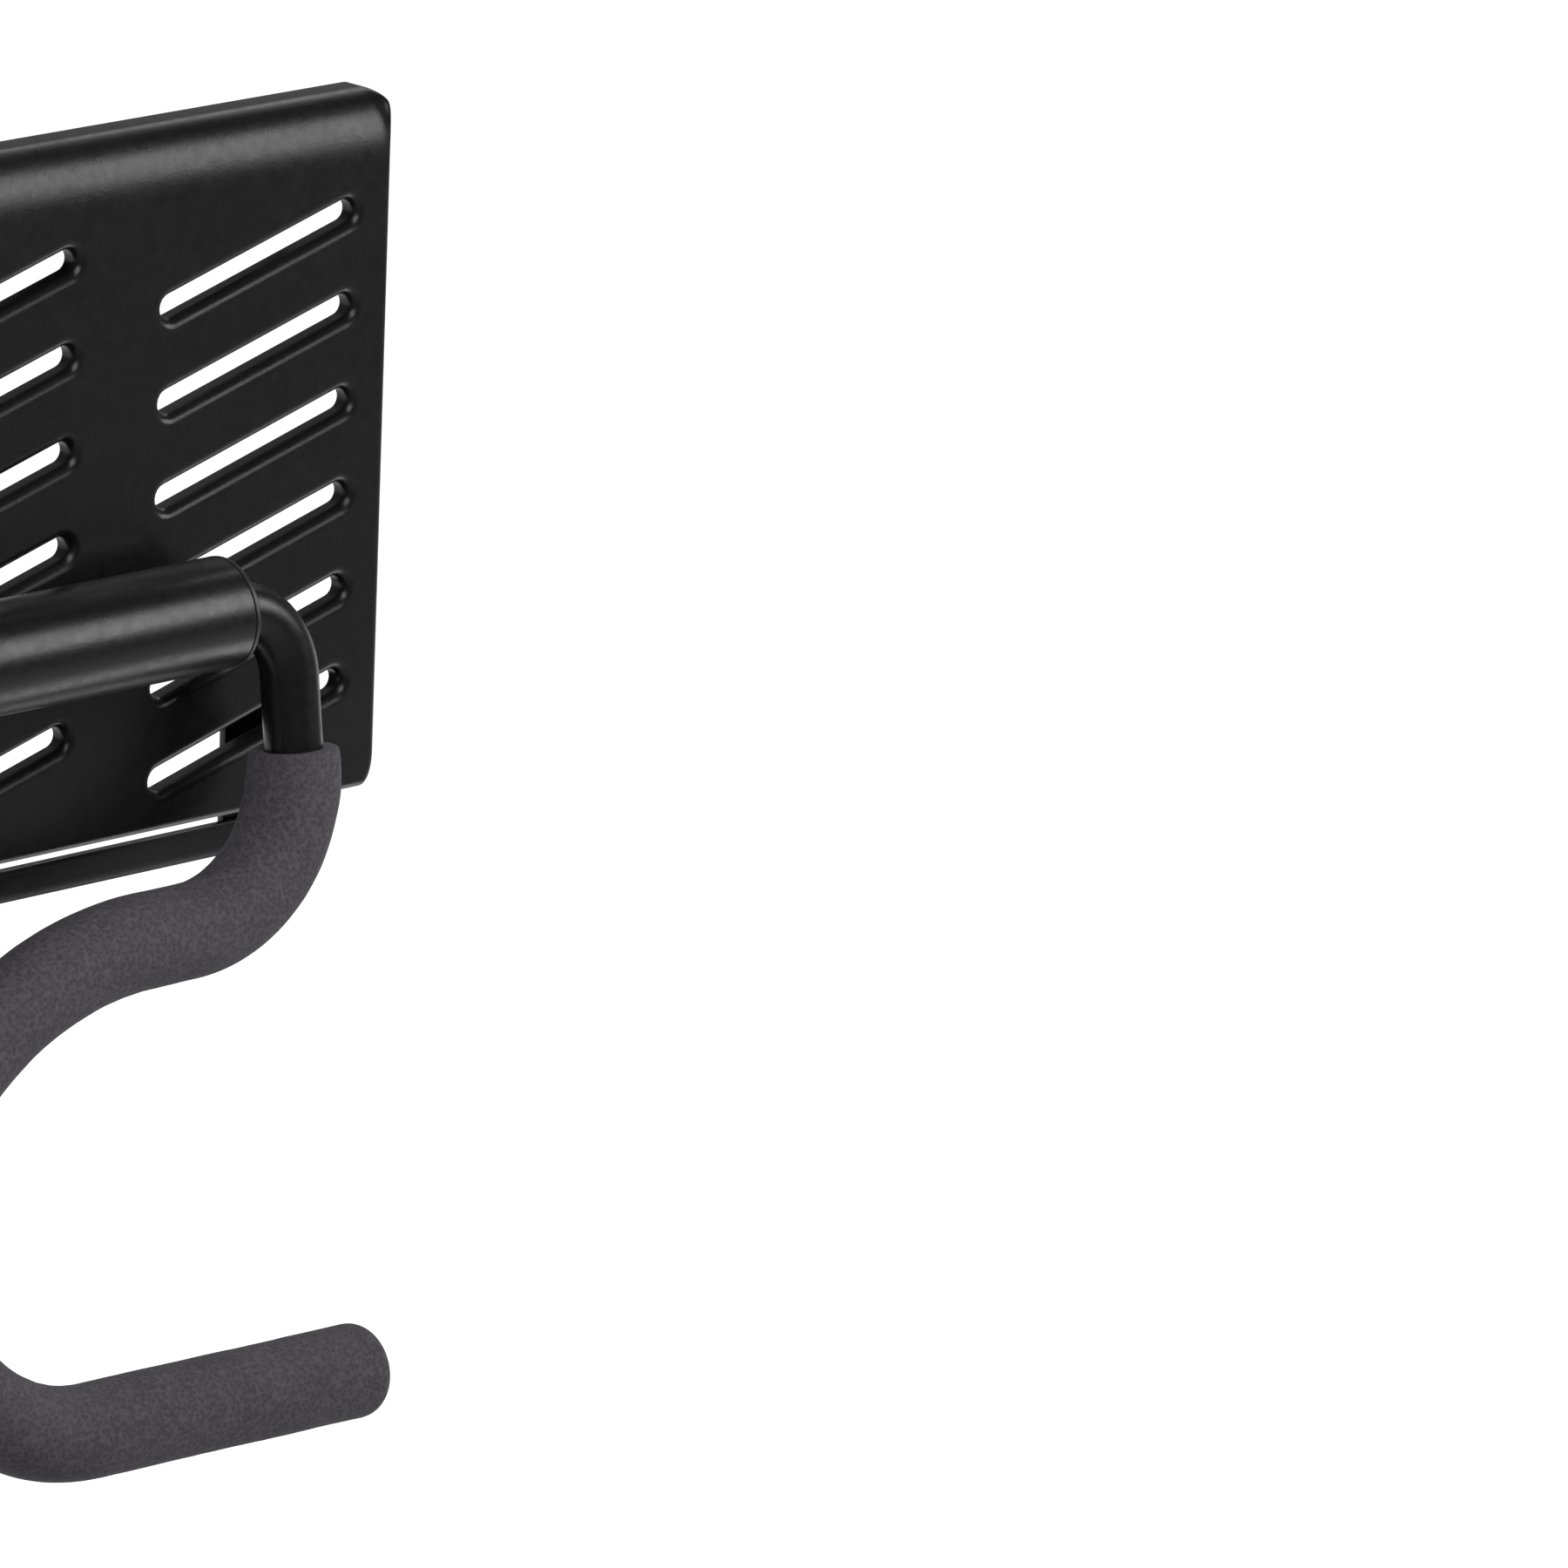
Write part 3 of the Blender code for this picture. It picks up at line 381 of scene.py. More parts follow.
def tray_ring(inset, turn, flat=0.0, depth=None):
    """One closed ring round the tray, a turn into its bends. The inset is PANEL_SHEET for the inner skin.

    The ring shrinks by flat, and lies at a depth of its own if one is given.
    """
    pull = 1 - sin(turn)
    half_x = PANEL_HIGH.x - inset - (SIDE_EDGE_BEND - inset) * pull - flat
    top = (PANEL_HIGH.z - inset, 1, TOP_EDGE_BEND, TOP_CORNERS)
    bottom = (PANEL_LOW.z + inset, -1, BOTTOM_EDGE_BEND, BOTTOM_CORNERS)
    points = []
    for quarter, sign_x, edge in ((0, 1, top), (1, -1, top), (2, -1, bottom), (3, 1, bottom)):
        edge_z, sign_z, long_bend, corners = edge
        edge_z -= sign_z * ((long_bend[1] - inset) * pull + flat)
        across_size, up_size = (
            max(MIN_CORNER, front + (rear - front) * sin(turn) - inset)
            for front, rear in zip(*corners)
        )
        for step in range(CORNER_STEPS + 1):
            around = (quarter + step / CORNER_STEPS) * pi / 2
            across, up = cos(around), sin(around)
            x = sign_x * (half_x - across_size) + across_size * across
            z = edge_z - sign_z * up_size + up_size * up
            bend = (SIDE_EDGE_BEND - inset) * across**2 + (long_bend[0] - inset) * up**2
            y = PANEL_LOW.y + inset + bend * (1 - cos(turn)) if depth is None else depth
            points.append(Vector((x, y, z)))
    return points


def slot_ring(center_x, center_z, spread, depth):
    """One ring round a slot, a spread outside its edge and a depth behind the panel's front."""
    half = (SLOT_LENGTH - SLOT_WIDTH) / 2
    radius = SLOT_WIDTH / 2 + spread
    points = []
    for end in (1, -1):
        for step in range(SLOT_END_STEPS + 1):
            a = pi * (step / SLOT_END_STEPS - 0.5)
            u = end * (half + radius * cos(a))
            w = end * radius * sin(a)
            x = center_x + u * cos(SLOT_ANGLE) - w * sin(SLOT_ANGLE)
            z = center_z + u * sin(SLOT_ANGLE) + w * cos(SLOT_ANGLE)
            points.append(Vector((x, PANEL_LOW.y + depth, z)))
    return points


def collar_profile():
    """A slot's collar as (spread, depth), from the panel's front over the bend and back to its rear."""
    turns = [pi / 2 * i / BEND_STEPS for i in range(BEND_STEPS + 1)]
    inner = COLLAR_BEND - COLLAR_SHEET
    front = [(COLLAR_BEND * (1 - sin(t)), COLLAR_BEND * (1 - cos(t))) for t in turns]
    rear = [(COLLAR_BEND - inner * sin(t), COLLAR_BEND - inner * cos(t)) for t in reversed(turns)]
    rim = [
        (0, COLLAR_DEPTH - COLLAR_EDGE),
        (COLLAR_EDGE, COLLAR_DEPTH),
        (COLLAR_SHEET - COLLAR_EDGE, COLLAR_DEPTH),
        (COLLAR_SHEET, COLLAR_DEPTH - COLLAR_EDGE),
    ]
    flat = COLLAR_BEND + FLAT_STRIP
    return [(flat, 0)] + front + rim + rear + [(flat, COLLAR_SHEET), (flat, PANEL_SHEET)]


def slot_centers():
    """(x, z) of every slot's middle."""
    middle = (SLOT_COLUMNS - 1) / 2
    for column in range(SLOT_COLUMNS):
        for row in range(SLOT_ROWS):
            yield (column - middle) * COLUMN_PITCH + COLUMNS_OFF_CENTER, TOP_ROW_Z - row * ROW_PITCH


def panel_mesh():
    """The tray: its bent border, the slots' collars, and a flat sheet filled in between them."""
    turns = [pi / 2 * i / BEND_STEPS for i in range(BEND_STEPS + 1)]
    border = [tray_ring(0, 0, FLAT_STRIP)] + [tray_ring(0, t) for t in turns]
    border += [tray_ring(0, pi / 2, 0, PANEL_HIGH.y)]
    back = [tray_ring(PANEL_SHEET, 0, FLAT_STRIP)] + [tray_ring(PANEL_SHEET, t) for t in turns]
    back += [tray_ring(PANEL_SHEET, pi / 2, 0, PANEL_HIGH.y)]
    strips = [border + back[::-1]]
    for x, z in slot_centers():
        strips.append([slot_ring(x, z, spread, depth) for spread, depth in collar_profile()])

    bm = bmesh.new()
    front_edges, rear_edges = [], []
    for rings in strips:
        loops = [[bm.verts.new(point) for point in ring] for ring in rings]
        for loop_a, loop_b in zip(loops, loops[1:]):
            for i in range(len(loop_a)):
                j = (i + 1) % len(loop_a)
                bm.faces.new((loop_a[i], loop_a[j], loop_b[j], loop_b[i]))
        for loop, edges in ((loops[0], front_edges), (loops[-1], rear_edges)):
            edges += [bm.edges.get((loop[i - 1], loop[i])) for i in range(len(loop))]
    for edges in (front_edges, rear_edges):
        bmesh.ops.triangle_fill(bm, use_beauty=True, use_dissolve=False, edges=edges, normal=(0, -1, 0))
    return finished("panel", bm)


# Straight and turned metal parts


def washer_outline(inner, outer, start, end, edge):
    """A ring's outline (x, radius) with rounded rims."""
    return rounded(((start, inner), (end, inner), (end, outer), (start, outer)), edge, 3)


def bolt_mesh(name, head_radius, head_height, socket, radius, length):
    """A button-head bolt with a hexagon socket: its head before x = 0 and its shank after it."""
    turns = [pi / 2 * step / BEND_STEPS for step in range(BEND_STEPS + 1)]
    crown = [
        (
            -head_height * (CROWN_FOOT + (1 - CROWN_FOOT) * cos(t)),
            head_radius * (CROWN_FLAT + (1 - CROWN_FLAT) * sin(t)),
        )
        for t in turns
    ]
    floor = -head_height * SOCKET_FLOOR
    mouth, flare = SOCKET_MOUTH
    well = [(floor * SOCKET_TIP, 0), (floor, socket)]
    well += [(-head_height * mouth, socket), (-head_height, socket * flare)]
    rise, share = HEAD_UNDERSIDE
    under = [(-rise, head_radius), (0, head_radius * share), (0, radius)]
    shank = threaded(radius, THREAD_START, length)
    return turned(name, well + crown + under + shank, FASTENER_SIDES, flats=(1, 2))


def threaded(radius, start, end):
    """(x, radius) points of a thread's grooves between two places, and of the chamfered end after them."""
    points = [(start, radius)]
    count = int((end - start - THREAD_PITCH) / THREAD_PITCH)
    for i in range(count):
        x = start + i * THREAD_PITCH
        points += [(x + THREAD_PITCH * on, radius - THREAD_DEPTH * deep) for on, deep in THREAD_FORM]
    chamfer = [(end - THREAD_DEPTH, radius - THREAD_DEPTH / 2), (end, radius - THREAD_DEPTH)]
    return points + chamfer + [(end, 0)]


def make_tube(coat):
    """The cross tube, with a hole in its underside for each lock stud."""
    inner = TUBE_RADIUS - TUBE_WALL
    outline = washer_outline(inner, TUBE_RADIUS, TUBE_LOW.x, TUBE_HIGH.x, SHEET_EDGE)
    mesh = turned("tube", outline)
    mesh.transform(Matrix.Translation((0, TUBE_Y, TUBE_Z)))
    for name, _ in SIDES:
        low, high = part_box("lock_stud_" + name)
        start = ((low.x + high.x) / 2, TUBE_Y, TUBE_Z - STUD_HOLE_DROP)
        mesh = cut(mesh, [drill(start, (0, 0, -1), STUD_HOLE_RADIUS, STUD_HOLE_DROP)])
    piece("tube_skin", mesh, coat, "rack", "cross_tube")


def make_end_bushes(nylon):
    """The flanged bearing in each end of the tube, with a rounded flange."""
    bore = ARM_RADIUS + 2 * HOLE_GAP
    for name, side in SIDES:
        low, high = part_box("tube_end_bush_" + name)
        outer_x = high.x if side > 0 else -low.x
        inner_x = low.x if side > 0 else -high.x
        body_radius = TUBE_RADIUS - TUBE_WALL - BUSH_GAP
        corners = (
            (inner_x, bore),
            (outer_x, bore),
            (outer_x, TUBE_RADIUS),
            (outer_x - BUSH_FLANGE, TUBE_RADIUS),
            (outer_x - BUSH_FLANGE, body_radius),
            (inner_x, body_radius),
        )
        mesh = turned("bush_" + name, rounded(corners, BUSH_ROUNDS, 5))
        mesh.transform(along((0, TUBE_Y, TUBE_Z), (side, 0, 0)))
        piece("end_bush_skin_" + name, mesh, nylon, "rack", "tube_end_bush_" + name)


def strap_outline(low, high):
    """A strap's outline in (z, y) from the tube's axis: a half round with an ear at each end."""
    inner = TUBE_RADIUS + HOLE_GAP
    outer = inner + STRAP_SHEET
    foot = high.y - TUBE_Y
    ear = (high.z - low.z) / 2
    turns = [pi * i / STRAP_STEPS for i in range(STRAP_STEPS + 1)]
    arc_in = [(inner * cos(t), -inner * sin(t)) for t in turns]
    arc_out = [(outer * cos(t), -outer * sin(t)) for t in reversed(turns)]
    corners = [(ear, foot), (inner, foot)] + arc_in + [(-inner, foot), (-ear, foot)]
    corners += [(-ear, foot - STRAP_SHEET), (-outer, foot - STRAP_SHEET)] + arc_out
    corners += [(outer, foot - STRAP_SHEET), (ear, foot - STRAP_SHEET)]
    plain = [0] * len(turns)
    ends = [SHEET_EDGE, STRAP_BEND]
    return rounded(corners, ends + plain + ends[::-1] + ends + plain + ends[::-1])


def seat_outline(low, high):
    """A seat's outline in (z, y) from the tube's axis: flat on the panel and hollowed to the tube."""
    foot = high.y - TUBE_Y
    half = (high.z - low.z) / 2
    radius = TUBE_RADIUS + HOLE_GAP
    lean = half / radius
    turns = [pi / 2 - lean + 2 * lean * i / SEAT_STEPS for i in range(SEAT_STEPS + 1)]
    hollow = [(radius * cos(t), radius * sin(t)) for t in turns]
    return [(-half, foot), (half, foot)] + hollow


def make_straps(coat, zinc, nylon):
    """The straps that hold the tube, the seats behind it, and their bolts and nuts."""

    def place(u, v, depth):
        return (depth, TUBE_Y + v, TUBE_Z + u)

    for name, _ in SIDES:
        low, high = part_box("tube_seat_" + name)
        seat = extruded("seat_" + name, seat_outline(low, high), low.x, high.x, place)
        piece("seat_skin_" + name, seat, nylon, "rack", "tube_seat_" + name)

        low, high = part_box("tube_strap_" + name)
        strap = extruded("strap_" + name, strap_outline(low, high), low.x, high.x, place)
        middle_x = (low.x + high.x) / 2
        seat_y = high.y - STRAP_SHEET - HOLE_GAP
        drills = []
        for end in ("lower", "upper"):
            bolt_low, bolt_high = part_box(f"strap_bolt_{name}_{end}")
            z = (bolt_low.z + bolt_high.z) / 2
            start = (middle_x, high.y - STRAP_SHEET - HOLE_LEAD, z)
            drills.append(drill(start, (0, 1, 0), BOLT_RADIUS + HOLE_GAP, SHORT_DRILL))
            head = ((bolt_high.z - bolt_low.z) / 2, seat_y - bolt_low.y, BOLT_SOCKET)
            bolt = bolt_mesh("bolt", *head, BOLT_RADIUS, bolt_high.y - seat_y)
            bolt.transform(along((middle_x, seat_y, z), (0, 1, 0)))
            piece(f"strap_bolt_skin_{name}_{end}", bolt, zinc, "rack", f"strap_bolt_{name}_{end}")
            make_nut(f"{name}_{end}", middle_x, z, zinc)
        piece("strap_skin_" + name, cut(strap, drills), coat, "rack", "tube_strap_" + name)


def make_nut(tail, x, z, zinc):
    """A hexagon nut behind the panel, chamfered at both ends and in its bore."""
    low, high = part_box("strap_nut_" + tail)
    bore = BOLT_RADIUS + HOLE_GAP
    height = high.y - low.y
    outline = (
        (NUT_CHAMFER, bore),
        (0, bore + NUT_CHAMFER),
        (0, NUT_FACE),
        (NUT_CHAMFER, NUT_FLAT),
        (height - NUT_CHAMFER, NUT_FLAT),
        (height, NUT_FACE),
        (height, bore + NUT_CHAMFER),
        (height - NUT_CHAMFER, bore),
    )
    nut = turned("nut", outline, FASTENER_SIDES, flats=(3, 4))
    nut.transform(along((x, low.y, z), (0, 1, 0)))
    piece("strap_nut_skin_" + tail, nut, zinc, "rack", "strap_nut_" + tail)


def make_panel_screws(zinc):
    """Small button-head screws through the panel's top and bottom flanges."""
    for name, _ in SIDES:
        for end, up in (("upper", 1), ("lower", -1)):
            node = f"panel_screw_{end}_{name}"
            low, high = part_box(node)
            head_z = high.z - SCREW_HEAD if up > 0 else low.z + SCREW_HEAD
            length = high.z - low.z - SCREW_HEAD
            screw = bolt_mesh("screw", (high.x - low.x) / 2, SCREW_HEAD, SCREW_SOCKET, SCREW_RADIUS, length)
            screw.transform(along(((low.x + high.x) / 2, (low.y + high.y) / 2, head_z), (0, 0, -up)))
            piece(f"panel_screw_skin_{end}_{name}", screw, zinc, "rack", node)


# Wall rails


def wall_drill(x, z, radius):
    """A round tool that goes through a rail towards the wall."""
    return drill((x, WALL_DRILL_Y, z), (0, 1, 0), radius, WALL_DRILL)


def make_upper_rail(coat):
    """A folded angle: one leg on the wall and one under the panel's top flange."""
    low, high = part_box("upper_wall_rail")
    corners = (
        (high.y, high.z),
        (low.y, high.z),
        (low.y, high.z - RAIL_SHEET),
        (high.y - RAIL_SHEET, high.z - RAIL_SHEET),
        (high.y - RAIL_SHEET, low.z),
        (high.y, low.z),
    )
    radii = (RAIL_BEND, SHEET_EDGE, SHEET_EDGE, RAIL_BEND - RAIL_SHEET, SHEET_EDGE, SHEET_EDGE)
    mesh = extruded("upper_rail", rounded(corners, radii, 6), low.x, high.x, lambda y, z, x: (x, y, z))
    tools = [wall_drill(x, UPPER_HOLE_Z, WALL_HOLE_RADIUS) for x in UPPER_HOLE_XS]
    for name, _ in SIDES:
        screw_low, screw_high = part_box("panel_screw_upper_" + name)
        start = (screw_low + screw_high) / 2
        start.z = high.z + HOLE_LEAD
        tools.append(drill(start, (0, 0, -1), SCREW_RADIUS + HOLE_GAP, SHORT_DRILL))
    piece("upper_rail_skin", cut(mesh, tools), coat, "rack", "upper_wall_rail")


def make_lower_rail(coat, zinc):
    """The lower bar, the uprights it is riveted to, and the rivets."""
    low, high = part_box("lower_wall_rail")
    bar_z = (low.z + high.z) / 2

    def place(x, z, y):
        return (x, y, z)

    def plate(name, x0, z0, x1, z1, y0, y1, corner):
        return extruded(name, rounded(((x0, z0), (x1, z0), (x1, z1), (x0, z1)), corner), y0, y1, place)

    bar = plate("bar", low.x, low.z, high.x, high.z, low.y, high.y, RAIL_CORNER)
    rivet_tools = []
    for name, side in SIDES:
        foot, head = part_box("rail_upright_" + name)
        middle_x = (foot.x + head.x) / 2
        upright = plate("upright", foot.x, foot.z, head.x, head.z, -RAIL_SHEET, head.y, RAIL_CORNER)
        tab_z = PANEL_LOW.z + PANEL_SHEET + 2 * HOLE_GAP
        x0, x1 = foot.x + UPRIGHT_TAB_INSET, head.x - UPRIGHT_TAB_INSET
        y0, y1 = foot.y, -RAIL_SHEET / 2
        tab_outline = rounded(((x0, y0), (x1, y0), (x1, y1), (x0, y1)), UPRIGHT_TAB_CORNER)
        tab = extruded("tab", tab_outline, tab_z, tab_z + RAIL_SHEET, lambda x, y, z: (x, y, z))
        upright = cut(upright, [tab], "UNION")
        screw_low, screw_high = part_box("panel_screw_lower_" + name)
        screw_y = (screw_low.y + screw_high.y) / 2
        tools = [
            wall_drill(middle_x, head.z - UPRIGHT_HOLE_DROP, WALL_HOLE_RADIUS),
            drill((middle_x, screw_y, tab_z - HOLE_LEAD), (0, 0, 1), SCREW_RADIUS + HOLE_GAP, SHORT_DRILL),
            wall_drill(middle_x, bar_z, RIVET_RADIUS + HOLE_GAP),
        ]
        piece("upright_skin_" + name, cut(upright, tools), coat, "rack", "rail_upright_" + name)

        rivet_low, rivet_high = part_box("rail_rivet_" + name)
        head_radius = (rivet_high.z - rivet_low.z) / 2
        turns = [pi / 2 * i / RIVET_STEPS for i in range(RIVET_STEPS + 1)]
        dome = [(RIVET_HEAD * RIVET_DOME * (1 - cos(t)), head_radius * sin(t)) for t in turns]
        length = rivet_high.y - rivet_low.y
        shank = [(RIVET_HEAD, RIVET_RADIUS), (length, RIVET_RADIUS), (length, 0)]
        rivet = turned("rivet", dome + [(RIVET_HEAD, head_radius)] + shank, RIVET_SIDES)
        rivet.transform(along((middle_x, rivet_low.y, bar_z), (0, 1, 0)))
        piece("rivet_skin_" + name, rivet, zinc, "rack", "rail_rivet_" + name)
        rivet_tools.append(wall_drill(middle_x, bar_z, RIVET_RADIUS + HOLE_GAP))
    piece("lower_rail_skin", cut(bar, rivet_tools), coat, "rack", "lower_wall_rail")


# Lock knobs


def make_boss(name, zinc):
    """A threaded boss under the tube, chamfered below and hollowed above to the tube's round."""
    low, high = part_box("knob_boss_" + name)
    middle_x = (low.x + high.x) / 2
    radius = (high.x - low.x) / 2
    bore = STUD_RADIUS + HOLE_GAP
    top = high.z - low.z + BOSS_LEAD
    corners = ((0, bore), (top, bore), (top, radius), (0, radius))
    boss = turned("boss", rounded(corners, BOSS_ROUNDS, 5))
    boss.transform(along((middle_x, TUBE_Y, low.z), (0, 0, 1)))
    start = (middle_x - BOSS_DRILL / 2, TUBE_Y, TUBE_Z)
    hollow = drill(start, (1, 0, 0), TUBE_RADIUS + HOLE_GAP, BOSS_DRILL, ROUND_STEPS)
    piece("boss_skin_" + name, cut(boss, [hollow]), zinc, "rack", "knob_boss_" + name)


def make_knob(name, nylon, zinc):
    """A lobed knob with rounded rims and a dished face, and the threaded stud it turns on."""
    low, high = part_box("lock_knob_" + name)
    height = high.z - low.z
    stud_low, stud_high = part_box("lock_stud_" + name)
    center = ((stud_low.x + stud_high.x) / 2, TUBE_Y)
    outer = high.x - center[0] - KNOB_LOBE_DEPTH
    bore = STUD_RADIUS + HOLE_GAP
    floor = height - KNOB_DISH
    rim, dish, hub, hub_top = (outer * share for share in KNOB_FACE)
    corners = (
        (high.z - stud_low.z + HOLE_GAP, bore),
        (0, bore),
        (0, outer),
        (height, outer),
        (height, rim),
        (floor, dish),
        (floor, hub),
        (height - KNOB_DISH * KNOB_HUB, hub_top),
    )
    profile = rounded(corners, KNOB_ROUNDS, KNOB_ROUND_STEPS)
    rings = []
    for depth, reach in profile:
        ring = []
        share = max(0.0, reach / outer - KNOB_LOBE_START) / (1 - KNOB_LOBE_START)
        for step in range(KNOB_SIDES):
            a = 2 * pi * step / KNOB_SIDES
            lobe = KNOB_LOBE_DEPTH * cos(KNOB_LOBES * a) * share
            x, y = (reach + lobe) * cos(a), (reach + lobe) * sin(a)
            ring.append((center[0] + x, center[1] + y, high.z - depth))
        rings.append(ring)
    start = [(center[0], center[1], high.z - profile[0][0])]
    end = [(center[0], center[1], high.z - profile[-1][0])]
    knob = skin("knob", [start] + rings + [end])
    piece("knob_skin_" + name, knob, nylon, name + "_knob", "lock_knob_" + name)

    length = stud_high.z - stud_low.z
    tip = [(0, 0), (0, STUD_RADIUS - THREAD_DEPTH)]
    stud = turned("stud", tip + threaded(STUD_RADIUS, THREAD_DEPTH, length), FASTENER_SIDES)
    stud.transform(along((*center, stud_low.z), (0, 0, 1)))
    piece("stud_skin_" + name, stud, zinc, name + "_knob", "lock_stud_" + name)


# Hooks


def hook_moves():
    """The hook's centre line after the stub: straight runs, and bends as (radius, sweep)."""
    return (
        ("bend", SHOULDER_RADIUS, pi / 2),
        ("run", SLEEVE_START - SHOULDER_RADIUS),
        ("run", LEG_END - SLEEVE_START),
        ("bend", KNEE_RADIUS, pi / 2),
        ("run", SHELF_RUN),
        ("bend", BACK_RADIUS, -BACK_SWEEP),
        ("bend", BELLY_RADIUS, -BELLY_SWEEP),
        ("run", PEG_LENGTH),
    )


def hook_line(step):
    """(distance from the shoulder, x, z, heading) along the right hook's centre line, hanging in XZ."""
    x, z, heading, travelled = LEG_X - SHOULDER_RADIUS, 0.0, 0.0, 0.0
    line = [(0.0, x, z, heading)]
    for kind, size, *sweep in hook_moves():
        if kind == "run":
            count = ceil(size / step)
            for i in range(1, count + 1):
                part = size * i / count
                line.append((travelled + part, x + part * cos(heading), z - part * sin(heading), heading))
            travelled += size
        else:
            turn = sweep[0]
            radius = size if turn > 0 else -size
            center_x = x - radius * sin(heading)
            center_z = z - radius * cos(heading)
            count = ceil(abs(turn) * size / step)
            for i in range(1, count + 1):
                now = heading + turn * i / count
                spot = (center_x + radius * sin(now), center_z + radius * cos(now), now)
                line.append((travelled + abs(turn) * size * i / count, *spot))
            travelled += abs(turn) * size
            heading += turn
        _, x, z, _ = line[-1]
    return line


def hook_ring(x, z, heading, radius, sides):
    """A ring square to the right hook's centre line. The radius is a number or a function of the angle."""
    points = []
    for i in range(sides):
        a = 2 * pi * i / sides
        r = radius(a) if callable(radius) else radius
        points.append((x + r * cos(a) * sin(heading), r * sin(a), z + r * cos(a) * cos(heading)))
    return points


def hang(mesh, side):
    """Takes a mesh drawn for the right hook to its side, on the tube's axis and leaning out."""
    lean = Matrix.Translation((0, TUBE_Y, TUBE_Z)) @ Matrix.Rotation(-HOOK_LEAN, 4, "X")
    mesh.transform(lean @ Matrix.Scale(side, 4, (1, 0, 0)))
    if side < 0:
        mesh.flip_normals()


def make_arm(name, side, coat):
    """The bent tube that makes a hook, hollow from its stub in the cross tube to the peg's end."""
    line = [(0.0, STUB_END_X, 0.0, 0.0)] + hook_line(ARM_STEP)
    outer = [hook_ring(x, z, heading, ARM_RADIUS, ARM_SIDES) for _, x, z, heading in line]
    inner = [hook_ring(x, z, heading, ARM_RADIUS - ARM_WALL, ARM_SIDES) for _, x, z, heading in line]
    mesh = skin("arm_" + name, outer + inner[::-1], closed=True)
    hang(mesh, side)
    piece("arm_skin_" + name, mesh, coat, name + "_hook", "arm_tube_" + name)


def foam_radius(distance, x, z, heading, bend):
    """The sleeve's radius at one station, as a function of the angle round it.

    The foam tapers to its rim, swells and dips a little along its length, and puckers inside its bends.
    """
    taper = min(1.0, (distance - FOAM_START) / FOAM_RIM_TAPER)
    base = FOAM_RIM_RADIUS + (FOAM_RADIUS - FOAM_RIM_RADIUS) * sin(taper * pi / 2)

    def radius(a):
        normal = Vector((cos(a) * sin(heading), sin(a), cos(a) * cos(heading)))
        spot = Vector((x, 0, z)) + normal * base
        swell = sum(height * noise.noise(spot * waves) for height, waves in FOAM_SWELLS)
        inside = max(0.0, bend * cos(a))
        seed = Vector((distance * FOAM_PUCKER_WAVES, sin(a) * FOAM_PUCKER_TURN, FOAM_PUCKER_SEED))
        return base + swell + FOAM_PUCKER * inside * noise.noise(seed)

    return radius


def bend_side(line, i):
    """How sharply the centre line turns at a station, as -1 to 1: the sign says which side is inside."""
    before = line[max(i - 1, 0)]
    after = line[min(i + 1, len(line) - 1)]
    rate = (after[3] - before[3]) / max(after[0] - before[0], 1e-6)
    return max(-1.0, min(1.0, -rate * KNEE_RADIUS))


def make_foam(name, side, foam):
    """A foam sleeve from below the shoulder to a closed, rounded end past the peg."""
    line = [station for station in hook_line(FOAM_STEP) if station[0] > FOAM_START - 1e-6]
    bore = ARM_RADIUS + HOLE_GAP / 2
    rings = [hook_ring(x, z, heading, bore, FOAM_SIDES) for _, x, z, heading in reversed(line)]

    start, x, z, heading = line[0]
    for step in range(FOAM_RIM_STEPS + 1):
        t = pi / 2 * step / FOAM_RIM_STEPS
        down = FOAM_RIM_ROUND * (1 - cos(t))
        radius = FOAM_RIM_RADIUS - FOAM_RIM_ROUND * (1 - sin(t))
        rings.append(hook_ring(x + down * cos(heading), z - down * sin(heading), heading, radius, FOAM_SIDES))
    for i, (distance, x, z, heading) in enumerate(line):
        if distance - start > FOAM_RIM_ROUND:
            radius = foam_radius(distance, x, z, heading, bend_side(line, i))
            rings.append(hook_ring(x, z, heading, radius, FOAM_SIDES))

    _, x, z, heading = line[-1]
    for step in range(1, FOAM_TIP_STEPS + 1):
        t = pi / 2 * step / FOAM_TIP_STEPS
        on = FOAM_TIP - FOAM_TIP_ROUND * (1 - sin(t))
        radius = FOAM_RADIUS - FOAM_TIP_ROUND * (1 - cos(t))
        rings.append(hook_ring(x + on * cos(heading), z - on * sin(heading), heading, radius, FOAM_SIDES))
    mesh = skin("foam_" + name, rings)
    hang(mesh, side)
    sleeve = piece("foam_skin_" + name, mesh, foam, name + "_hook", "foam_sleeve_" + name)


# Materials


def shader_node(tree, kind, inputs=(), **settings):
    """Adds a node, sets its properties, and sets or links its inputs."""
    node = tree.nodes.new("ShaderNode" + kind)
    for key, value in settings.items():
        setattr(node, key, value)
    for key, value in dict(inputs).items():
        if isinstance(value, bpy.types.NodeSocket):
            tree.links.new(value, node.inputs[key])
        else:
            node.inputs[key].default_value = value
    return node


def new_material(name, **values):
    """A material with a Principled shader, and that shader's uniform values set on its own sockets."""
    material = bpy.data.materials.new(name)
    material.use_nodes = True
    tree = material.node_tree
    shader = tree.nodes["Principled BSDF"]
    for key, value in values.items():
        shader.inputs[key.replace("_", " ").title().replace("Ior", "IOR")].default_value = value
    return material, tree, shader


def blend(tree, factor, low, high):
    """A socket that goes from one colour to another with a factor."""
    ramp = shader_node(tree, "ValToRGB", {"Fac": factor})
    ramp.color_ramp.elements[0].color = (*low, 1)
    ramp.color_ramp.elements[1].color = (*high, 1)
    return ramp.outputs["Color"]


